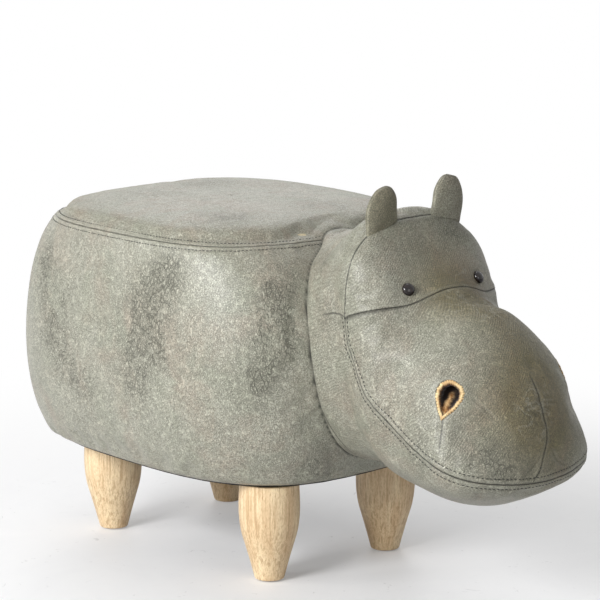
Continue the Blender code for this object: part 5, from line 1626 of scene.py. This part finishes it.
@dataclass
class Nostril(Sided):
    """One teardrop opening of the muzzle with its suede pocket."""

    suede: Suede
    x: float = 0.3980
    angle: float = math.radians(38.0)
    height: float = 0.0395
    width: float = 0.0272
    lean: float = math.radians(13.0)
    pointedness: float = 1.15
    turned_in: float = 0.0016
    teeth: int = 42

    def __post_init__(self) -> None:
        """Lay out the opening."""
        self.centre = self.mirrored(self.form.point(self.x, self.angle))
        self.normal = self.mirrored(self.form.outward(self.x, self.angle))
        up = unit(UP - self.normal * self.normal[2])
        self.plane = np.stack([np.cross(up, self.normal), up])
        self.rim = Seam(self.ring(0.0, 0.0), SeamStyle.HEM)

    def ring(self, inset: Array, depth: Array, count: int = 180) -> Array:
        """A closed teardrop, drawn in by an inset and sunk straight in by a depth."""
        turn = np.linspace(0.0, math.tau, count + 1)
        aside = np.sin(turn) * np.abs(np.sin(turn / 2)) ** self.pointedness
        aside = aside / aside.max() * (self.width / 2 - inset)
        up = -np.cos(turn) * (self.height / 2 - inset)
        cosine, sine = math.cos(self.lean), math.sin(self.lean)
        flat = np.column_stack([aside, up]) @ np.array([[cosine, sine], [-sine, cosine]])
        at = self.form.lay_flat(flat, self.x, self.angle)
        depth = np.broadcast_to(np.asarray(depth, float), turn.shape)[:, None]
        points = self.form.point(at[:, 0], at[:, 1]) - self.form.outward(self.x, self.angle) * depth
        return self.mirrored(points)

    def cut(self, bm: bmesh.types.BMesh) -> None:
        """Open the muzzle inside the rim, draw the edge onto it and turn the edge in."""
        rim, inner = ((ring - self.centre) @ self.plane.T for ring in (self.rim.path, self.ring(0.0006, 0.0)))
        gone = []
        for vertex in bm.verts:
            offset = np.array(vertex.co) - self.centre
            if np.dot(offset, offset) > self.height**2 or np.dot(offset, self.normal) < -0.02:
                continue
            if inside_outline(inner, self.plane @ offset):
                gone.append(vertex)
        bmesh.ops.delete(bm, geom=gone, context="VERTS")
        centre, near = Vector(self.centre), self.height * 0.75
        edges = [
            edge for edge in bm.edges
            if edge.is_boundary and all((vertex.co - centre).length < near for vertex in edge.verts)
        ]
        first, step = rim[:-1], np.diff(rim, axis=0)
        for vertex in {vertex for edge in edges for vertex in edge.verts}:
            flat = self.plane @ (np.array(vertex.co) - self.centre)
            share = np.clip(((flat - first) * step).sum(1) / np.maximum((step**2).sum(1), 1e-12), 0.0, 1.0)
            spots = first + step * share[:, None]
            best = np.argmin(np.linalg.norm(spots - flat, axis=1))
            vertex.co += Vector((spots[best] - flat) @ self.plane)
        made = bmesh.ops.extrude_edge_only(bm, edges=edges)["geom"]
        turned = [item for item in made if isinstance(item, bmesh.types.BMVert)]
        bmesh.ops.translate(bm, verts=turned, vec=-Vector(self.normal) * self.turned_in)

    def build(self) -> bpy.types.Object:
        """Make the suede pocket with its pinked rim and the painted shadow in its depth."""
        turn = np.linspace(0.0, 1.0, 181)
        saw = np.abs((turn * self.teeth) % 1.0 - 0.5) * 2.0
        saw[-1] = saw[0]
        # Rows of inset, sink, tooth size, pinking mark and painted shadow; the shadow grows towards the depth
        rows = (
            (-0.7, 1.8, 0.0, 1.0, 0.00), (-0.1, 0.50, 0.4, 1.0, 0.00), (0.5, 0.10, 0.6, 0.5, 0.00),
            (1.3, 0.00, 0.7, 0.0, 0.00), (2.0, 0.2, 1.6, 0.3, 0.00), (2.7, 0.8, 2.4, 1.0, 0.10),
            (3.1, 2.2, 2.0, 1.0, 0.45), (3.8, 4.5, 0.8, 0.7, 0.70), (4.8, 10.0, 0.0, 0.3, 0.95),
            (6.4, 16.0, 0.0, 0.0, 1.00),
        )
        points, depth, pinked = [], [], []
        upness = 0.5 - 0.5 * np.cos(turn * math.tau)
        crumple = 0.5 * np.sin(turn * 75.0 + 2.0 * np.sin(turn * 19.0))
        for inset, sunk, tooth, mark, dark in rows:
            inner = float(ease((sunk - 1.0) / 3.0))
            shallow = 1.0 - inner * (1.0 - (0.40 + 0.60 * ease(upness * 1.6)))
            inset_now, sunk_now = inset + tooth * (saw - 0.5) + 0.5 * crumple, sunk * shallow + 0.35 * crumple
            lift = 0.28 * sunk * MM * ease((sunk - 2.0) / 12.0)
            points.append(self.ring(inset_now * MM, sunk_now * MM) + UP * lift)
            # Painted shadow, heavier under the upper edge of the opening, where the overhang shades the pocket
            depth.append(dark * (0.42 + 0.58 * ease(upness * 2.2)))
            pinked.append(mark * ease((saw - 0.35) / 0.5))
        bottom = points[-1][:-1].mean(axis=0) - self.normal * 0.001
        points.append(np.broadcast_to(bottom, points[-1].shape))
        depth.append(depth[-1])
        pinked.append(pinked[-1])
        bm = bmesh.new()
        grid_mesh(bm, np.array(points), {"lining_depth": np.array(depth), "pinked": np.array(pinked)})
        inside, node = self.centre - self.normal * 0.006, f"nostril_lining_{self.side}"
        return finish_piece(f"nostril_pocket_{self.side}", bm, self.suede, [node], inside, wall=0.0007)


def inside_outline(outline: Array, place: Array) -> bool:
    """Whether a flat place lies inside a closed outline, by counting crossings."""
    first, second = outline[:-1], outline[1:]
    crosses = (first[:, 1] > place[1]) != (second[:, 1] > place[1])
    first, second = first[crosses], second[crosses]
    at = first[:, 0] + (place[1] - first[:, 1]) / (second[:, 1] - first[:, 1]) * (second[:, 0] - first[:, 0])
    return bool((at > place[0]).sum() % 2)


# Ears, eyes and legs
@dataclass
class Ear(Sided):
    """A sewn ear: two pieces of hide joined near the rim, turned and filled flat."""

    hide: Hide
    half_width: float = 0.0182
    half_thickness: float = 0.0056
    angle: float = math.radians(69)
    span: float = math.radians(10.5)
    tip: Place = (0.2675, 0.0502, 0.4362)
    tip_lift_left: float = 0.0015
    tip_lift_right: float = -0.0025
    flatness: float = 3.3
    flare: float = 0.20
    columns: int = 96
    rows: int = 56
    foot_sink: float = 0.0012
    groove: float = 0.50 * MM
    foot_dent: float = 0.7 * MM
    waviness: float = 0.30 * MM

    def build(self) -> bpy.types.Object:
        """Make the ear's cover."""
        turn = np.linspace(0.0, math.tau, self.columns + 1)
        angle = self.angle + self.span * np.cos(turn)
        seam = self.form.face_seam_x(angle)
        foot = self.form.point(seam + self.half_thickness * np.sin(turn), angle)
        foot = foot - self.form.outward(seam, angle) * self.foot_sink
        base = foot[:-1].mean(axis=0)
        wide = unit(foot[0] - foot[self.columns // 2])
        rise = np.array(self.tip) - base
        rise = rise + rise * (self.tip_lift_right if self.right else self.tip_lift_left) / np.linalg.norm(rise)
        height = np.linalg.norm(rise)
        rise = rise / height
        thick = np.cross(rise, wide)
        thick = thick * math.copysign(1.0, thick[0])
        cosine, sine = np.cos(turn)[:, None], np.sin(turn)[:, None]
        plain = base + wide * self.half_width * cosine + thick * self.half_thickness * sine
        rings, on_rim, shares = [], [], 1.0 - graded(self.rows, 0.70, 0.40)
        for share in shares:
            left = max(1.0 - share**self.flatness, 0.0) ** (1.0 / self.flatness)
            wide_size = self.half_width * left * (1.0 + self.flare * math.sin(math.pi * share**1.35))
            thick_size = self.half_thickness * left * (1.0 + 0.25 * math.sin(math.pi * share))
            ring = base + rise * height * share + wide * wide_size * cosine + thick * thick_size * sine
            rings.append(ring + (foot - plain) * (1.0 - share) ** 3)
            on_rim.append(np.abs(np.sin(turn)) * thick_size)
        smooth, from_seam = np.array(rings), np.array(on_rim)
        outward = grid_normals(smooth, base + rise * height * 0.4)
        groove = bell(from_seam, self.groove)
        low = ease((0.12 - shares) / 0.12)[:, None]
        dent = groove * self.groove + low * self.foot_dent - ripple(smooth, 0.022, 21) * self.waviness
        points = self.mirrored(smooth - outward * dent[..., None])
        # Painted shade in the rim's groove and a painted shadow at the ear's foot
        shade = groove * 0.55 + 0.8 * ease((0.04 - shares) / 0.04)[:, None] * (1.0 - groove * 0.55)
        values = {"seam_shade": shade, "seam_worn": bell(from_seam - 1.6 * MM, 0.8 * MM)}
        bm = bmesh.new()
        grid_mesh(bm, points, values)
        node, inside = f"ear_cover_{self.side}", points[len(points) // 2, :-1].mean(axis=0)
        ear = finish_piece(f"{node}_sewn", bm, self.hide, [node], inside, wall=0.0010, weld=1e-5)
        return ear


EYE_X = 0.3085
EYE_ANGLE = math.radians(64.5)


@dataclass
class Eye(Sided):
    """A domed safety eye on its stem."""

    gloss: EyeGloss
    radius: float = 0.0067
    dome: float = 0.0054
    rim: float = 0.0011
    stem: float = 0.0022
    stem_length: float = 0.0100
    sink: float = 0.0007
    undercut: float = 0.0004
    bulge: float = 1.015

    def build(self) -> bpy.types.Object:
        """Spin the eye and set it on the brow."""
        stem, steps = -self.stem_length, 12
        profile = [(0.0, stem), (self.stem, stem), (self.stem, -self.undercut), (self.radius, 0.0)]
        profile += [(self.radius * self.bulge, self.rim / 2)]
        for step in range(steps + 1):
            bend = math.pi / 2 * step / steps
            profile.append((self.radius * math.cos(bend), self.rim + (self.dome - self.rim) * math.sin(bend)))
        centre = self.mirrored(self.form.point(EYE_X, EYE_ANGLE))
        normal = self.mirrored(self.form.outward(EYE_X, EYE_ANGLE))
        bm = spun(profile, 64)
        turn = Vector((0, 0, 1)).rotation_difference(Vector(normal)).to_matrix().to_4x4()
        place = Matrix.Translation(Vector(centre - normal * self.sink)) @ turn
        bmesh.ops.transform(bm, matrix=place, verts=bm.verts)
        return finish_piece(f"eye_{self.side}_gloss", bm, self.gloss, [f"eye_{self.side}"])


def spun(profile: Sequence[tuple[float, float]], steps: int) -> bmesh.types.BMesh:
    """A closed turned solid from (radius, height) points along its outline."""
    bm = bmesh.new()
    verts = [bm.verts.new((radius, 0.0, height)) for radius, height in profile]
    edges = [bm.edges.new(pair) for pair in zip(verts, verts[1:])]
    bmesh.ops.spin(
        bm, geom=verts + edges, cent=(0, 0, 0), axis=(0, 0, 1), angle=math.tau, steps=steps, use_merge=True
    )
    bmesh.ops.remove_doubles(bm, verts=bm.verts, dist=1e-6)
    return bm


@dataclass
class Leg:
    """A turned peg leg, widest near its top."""

    name: str
    wood: TurnedWood
    profile: tuple[tuple[float, float], ...] = (
        (0.0, 0.0157), (0.0095, 0.0182), (0.0200, 0.0210), (0.0300, 0.0238), (0.0410, 0.0270), (0.0510, 0.0298),
        (0.0620, 0.0317), (0.0720, 0.0326), (0.0830, 0.0328), (0.0940, 0.0325), (0.1080, 0.0320),
    )
    edge: float = 0.0013

    def build(self) -> bpy.types.Object:
        """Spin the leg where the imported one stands."""
        low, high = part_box(self.name)
        heights, radii = zip(*self.profile)
        curve, full = smooth_curve(heights, radii), heights[-1]
        scale = (high.z - low.z) / full
        corner = self.edge * (1.0 - np.cos(np.linspace(0.0, math.pi / 2, 6)))
        fine = np.concatenate([corner, np.linspace(self.edge, full - self.edge, 56)[1:], full - corner[::-1]])
        outline = [(0.0, low.z)]
        for height in fine:
            from_end = min(height, full - height) / self.edge
            rounding = self.edge * (1.0 - math.sqrt(max(0.0, 1.0 - max(0.0, 1.0 - from_end) ** 2)))
            outline.append((float(curve(height)) - rounding, low.z + float(height) * scale))
        outline.append((0.0, high.z))
        bm = spun(outline, 96)
        middle = ((low.x + high.x) / 2 - SHIFT_X, (low.y + high.y) / 2, 0.0)
        bmesh.ops.translate(bm, verts=bm.verts, vec=middle)
        return finish_piece(f"{self.name}_turned", bm, self.wood, [self.name])


# Filling and hidden parts
@dataclass
class Filling:
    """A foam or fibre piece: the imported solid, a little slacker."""

    node: str
    finish: Finish
    fill: float
    slack: float
    head: Optional[HeadForm] = None
    drop: float = 1.7

    def build(self) -> bpy.types.Object:
        """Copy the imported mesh, merge it, draw it in and lower it at the head's dips."""
        bm = bmesh.new()
        bm.from_mesh(frame["nodes"][self.node].data)
        bmesh.ops.remove_doubles(bm, verts=bm.verts, dist=1e-6)
        bmesh.ops.recalc_face_normals(bm, faces=bm.faces)
        bm.normal_update()
        bmesh.ops.translate(bm, verts=bm.verts, vec=(-SHIFT_X, 0.0, 0.0))
        lowered = np.zeros(len(bm.verts))
        if self.head:
            places = np.array([vertex.co for vertex in bm.verts])
            lowered = self.drop * self.head.swelling(places, self.head.neck_dips)
        for vertex, drop in zip(bm.verts, lowered):
            vertex.co += vertex.normal * -self.slack + Vector((0.0, 0.0, drop))
        piece = finish_piece(f"{self.node}_filling", bm, self.finish, [self.node], smooth=False)
        return piece


INNER_FINISHES: dict[str, Finish] = {
    "plywood": SawnWood("plywood_sheet", "plywood", ply=0.0024),
    "softwood": SawnWood(
        "planed_softwood", "softwood", (0.76, 0.60, 0.38), (0.60, 0.42, 0.22), grain=(1.0, 1.0, 0.06)
    ),
    "hardboard": Pressed("bent_hardboard", "hardboard"),
    "zinc_plated_steel": Steel("zinc_plated_hardware"),
    "washer_plastic": Pressed(
        "nylon_washer", "washer_plastic", (0.78, 0.78, 0.75), (0.70, 0.70, 0.67), 300.0, 0.0001, 0.45
    ),
    "felt": Pressed("pressed_felt", "felt", (0.23, 0.19, 0.155), (0.14, 0.115, 0.09), 900.0, 0.0006, 0.95, 0.3),
    "dust_cloth": Pressed(
        "dust_cloth_black", "dust_cloth", (0.045, 0.045, 0.048), (0.018, 0.018, 0.020), 700.0, 0.0003, 0.9, 0.1,
        weave=0.0022,
    ),
}


def dress_packed_nodes() -> None:
    """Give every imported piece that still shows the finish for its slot."""
    slots = {part["node"]: part["material_slot"] for part in frame["record"]["subparts"]}
    for name, node in frame["nodes"].items():
        finish = INNER_FINISHES.get(slots[name])
        if node.hide_render or finish is None:
            continue
        node.data.materials.clear()
        node.data.materials.append(finish.material())
        LOG.info("%s: %s", name, finish.name)


def add_staples(form: Barrel, steel: Steel) -> None:
    """Staples round the edge of the dust cloth."""
    low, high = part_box("dust_cover")
    count, setback, power = 44, 0.0045, form.squareness
    half = Vector((high - low) / 2) - Vector((setback, setback, 0.0))
    middle_x = (low.x + high.x) / 2 - SHIFT_X
    bm = bmesh.new()
    for step in range(count):
        turn = math.tau * (step + 0.5) / count
        cosine, sine = math.cos(turn), math.sin(turn)
        reach = (abs(cosine / half.x) ** power + abs(sine / half.y) ** power) ** (-1.0 / power)
        spot = Vector((middle_x + reach * cosine, reach * sine, low.z - 0.0002))
        turned = Matrix.Rotation(turn + math.pi / 2 + 0.2 * math.sin(step * 5.3), 4, "Z")
        bar = Matrix.Translation(spot) @ turned @ Matrix.Diagonal((0.0100, 0.0011, 0.0006, 1.0))
        bmesh.ops.create_cube(bm, size=1.0, matrix=bar)
    finish_piece("dust_cloth_staples", bm, steel, smooth=False, weld=1e-8)


def add_threads(body: BodyCovers, head: HeadCovers, covers: Skin) -> None:
    """Rows of stitches beside the seams, and the sewing thread in their grooves.

    Args:
        body: The body's covers.
        head: The head's covers.
        covers: All finished covers, on which the stitches lie.
    """
    thread, pitch = Thread("topstitch_thread"), 0.002
    smooth_body = Skin.of(body.side(), body.seat())
    smooth_head = Skin.of(*head.neck(), head.forehead(), head.muzzle())
    rim, mouth = resampled(body.seat_seam.path, pitch), head.mouth_seam.path
    for name, path, form, distance, spacing, sink in (
        ("seat_stitches_side", rim, smooth_body, 0.0052, 0.0042, 0.0),
        ("seat_stitches_top", rim, smooth_body, -0.0050, 0.0042, 0.00046),
        ("mouth_stitches_upper", mouth, smooth_head, 0.0055, 0.0046, 0.0),
        ("mouth_stitches_lower", mouth, smooth_head, -0.0055, 0.0046, 0.0),
    ):
        line = offset_line(resampled(path, pitch), form, distance)
        stitches(name, line, covers, thread, spacing, sink=sink)
    for name, seam, thickness in (
        ("face_seam_thread", head.face_seam, 0.0010), ("brow_seam_thread", head.brow_seam, 0.0006),
        ("centre_seam_thread", head.front_seam, 0.0008),
    ):
        stitches(name, resampled(seam.path, pitch), covers, thread, 0.0050, 0.0032, thickness)


@dataclass
class Softbox:
    """A square lamp that points at the stool."""

    name: str
    place: Place
    size: float
    watts: float
    target: Place = (0.0, 0.0, 0.20)

    def build(self) -> None:
        """Hang the lamp."""
        data = bpy.data.lights.new(self.name, "AREA")
        data.shape = "SQUARE"
        data.size = self.size
        data.energy = self.watts
        lamp = add_object(self.name, data)
        lamp.location = self.place
        lamp.rotation_euler = (Vector(self.target) - Vector(self.place)).to_track_quat("-Z", "Y").to_euler()


def build_studio() -> None:
    """Floor, lamps, world and camera."""
    bm = bmesh.new()
    bmesh.ops.create_circle(bm, cap_ends=True, segments=128, radius=7.0)
    floor = add_mesh("studio_floor", bm)
    floor.data.materials.append(StudioFloor("studio_floor_white").material())
    floor.location.z = -0.0005

    for lamp in (
        Softbox("key_softbox", (0.25, -2.40, 1.40), 0.95, 70.0),
        Softbox("left_softbox", (-1.20, -2.20, 1.30), 0.90, 19.0),
        Softbox("top_softbox", (-1.00, 0.60, 2.60), 1.80, 14.0),
        Softbox("rear_softbox", (-2.00, 1.60, 1.60), 1.20, 16.0),
        Softbox("right_softbox", (2.60, -0.50, 1.15), 1.20, 9.0),
    ):
        lamp.build()

    scene = bpy.context.scene
    scene.world = bpy.data.worlds.new("studio_world")
    graph = Graph(scene.world, "Background", "World Output")
    path = graph.tree.nodes.new("ShaderNodeLightPath")
    rays = [Socket(graph, path.outputs[f"Is {name} Ray"]) for name in ("Camera", "Glossy", "Transmission")]
    seen = graph.clamp(rays[0] + rays[1] + rays[2])
    graph.set(Color=(1.0, 1.0, 1.0), Strength=0.13 + seen * 0.87)

    data = bpy.data.cameras.new("product_camera")
    data.lens = 162.0
    data.sensor_width = 36.0
    camera = add_object("product_camera", data)
    camera.location = (2.2265 + SHIFT_X, -1.9129, 0.8561)
    target = Vector((0.0887 + SHIFT_X, 0.0, 0.2854))
    camera.rotation_euler = (target - camera.location).to_track_quat("-Z", "Y").to_euler()
    scene.camera = camera
    scene.view_settings.view_transform = "Standard"


def main() -> None:
    """Build the stool in order and report each piece."""
    logging.basicConfig(level=logging.INFO, format="%(name)s: %(message)s")
    barrel, head_form = Barrel(), HeadForm()
    flank = Hide("hide_body", blotches=blotches(FLANK_BLOTCHES))
    marks = {"blotches": blotches(HEAD_BLOTCHES), "painted_shade_spots": blotches(HEAD_PAINTED_SHADE)}
    face = Hide("hide_head", **marks, twill=0.42, satin=0.55)
    ear_hide = Hide("hide_ears", painted_shade_spots=blotches(EAR_PAINTED_SHADE), twill=0.3, satin=0.1)

    head = HeadCovers(head_form, barrel, face)
    nostrils = [Nostril(head_form, right, Suede(f"nostril_suede_{right}")) for right in (False, True)]
    head_panels = head.build(nostrils)
    body = BodyCovers(barrel, flank, head.neck_seam)
    body_panels = body.build()
    for nostril in nostrils:
        nostril.build()
    for right in (False, True):
        Ear(head_form, right, ear_hide).build()
        Eye(head_form, right, EyeGloss("eye_gloss_black")).build()
    add_threads(body, head, Skin.of(*body_panels, *head_panels))

    wood = TurnedWood("rubberwood_lacquered")
    for name in LEGS:
        Leg(name, wood).build()
    foam = Foam("polyurethane_foam")
    fibre = Pressed(
        "polyester_fibre", "fibre_stuffing", (0.88, 0.87, 0.84), (0.70, 0.69, 0.66), 350.0, 0.0015, 0.95, 0.2
    )
    for filling in (
        Filling("side_foam", foam, 0.9, 3.2 * MM), Filling("seat_foam", foam, 0.9, 5.0 * MM),
        Filling("head_stuffing", fibre, 0.9, 4.8 * MM, head_form),
        Filling("ear_foam_left", foam, 0.6, 1.2 * MM), Filling("ear_foam_right", foam, 0.6, 1.2 * MM),
    ):
        filling.build()
    dress_packed_nodes()
    add_staples(barrel, Steel("staple_steel"))
    build_studio()


if __name__ == "__main__":
    main()
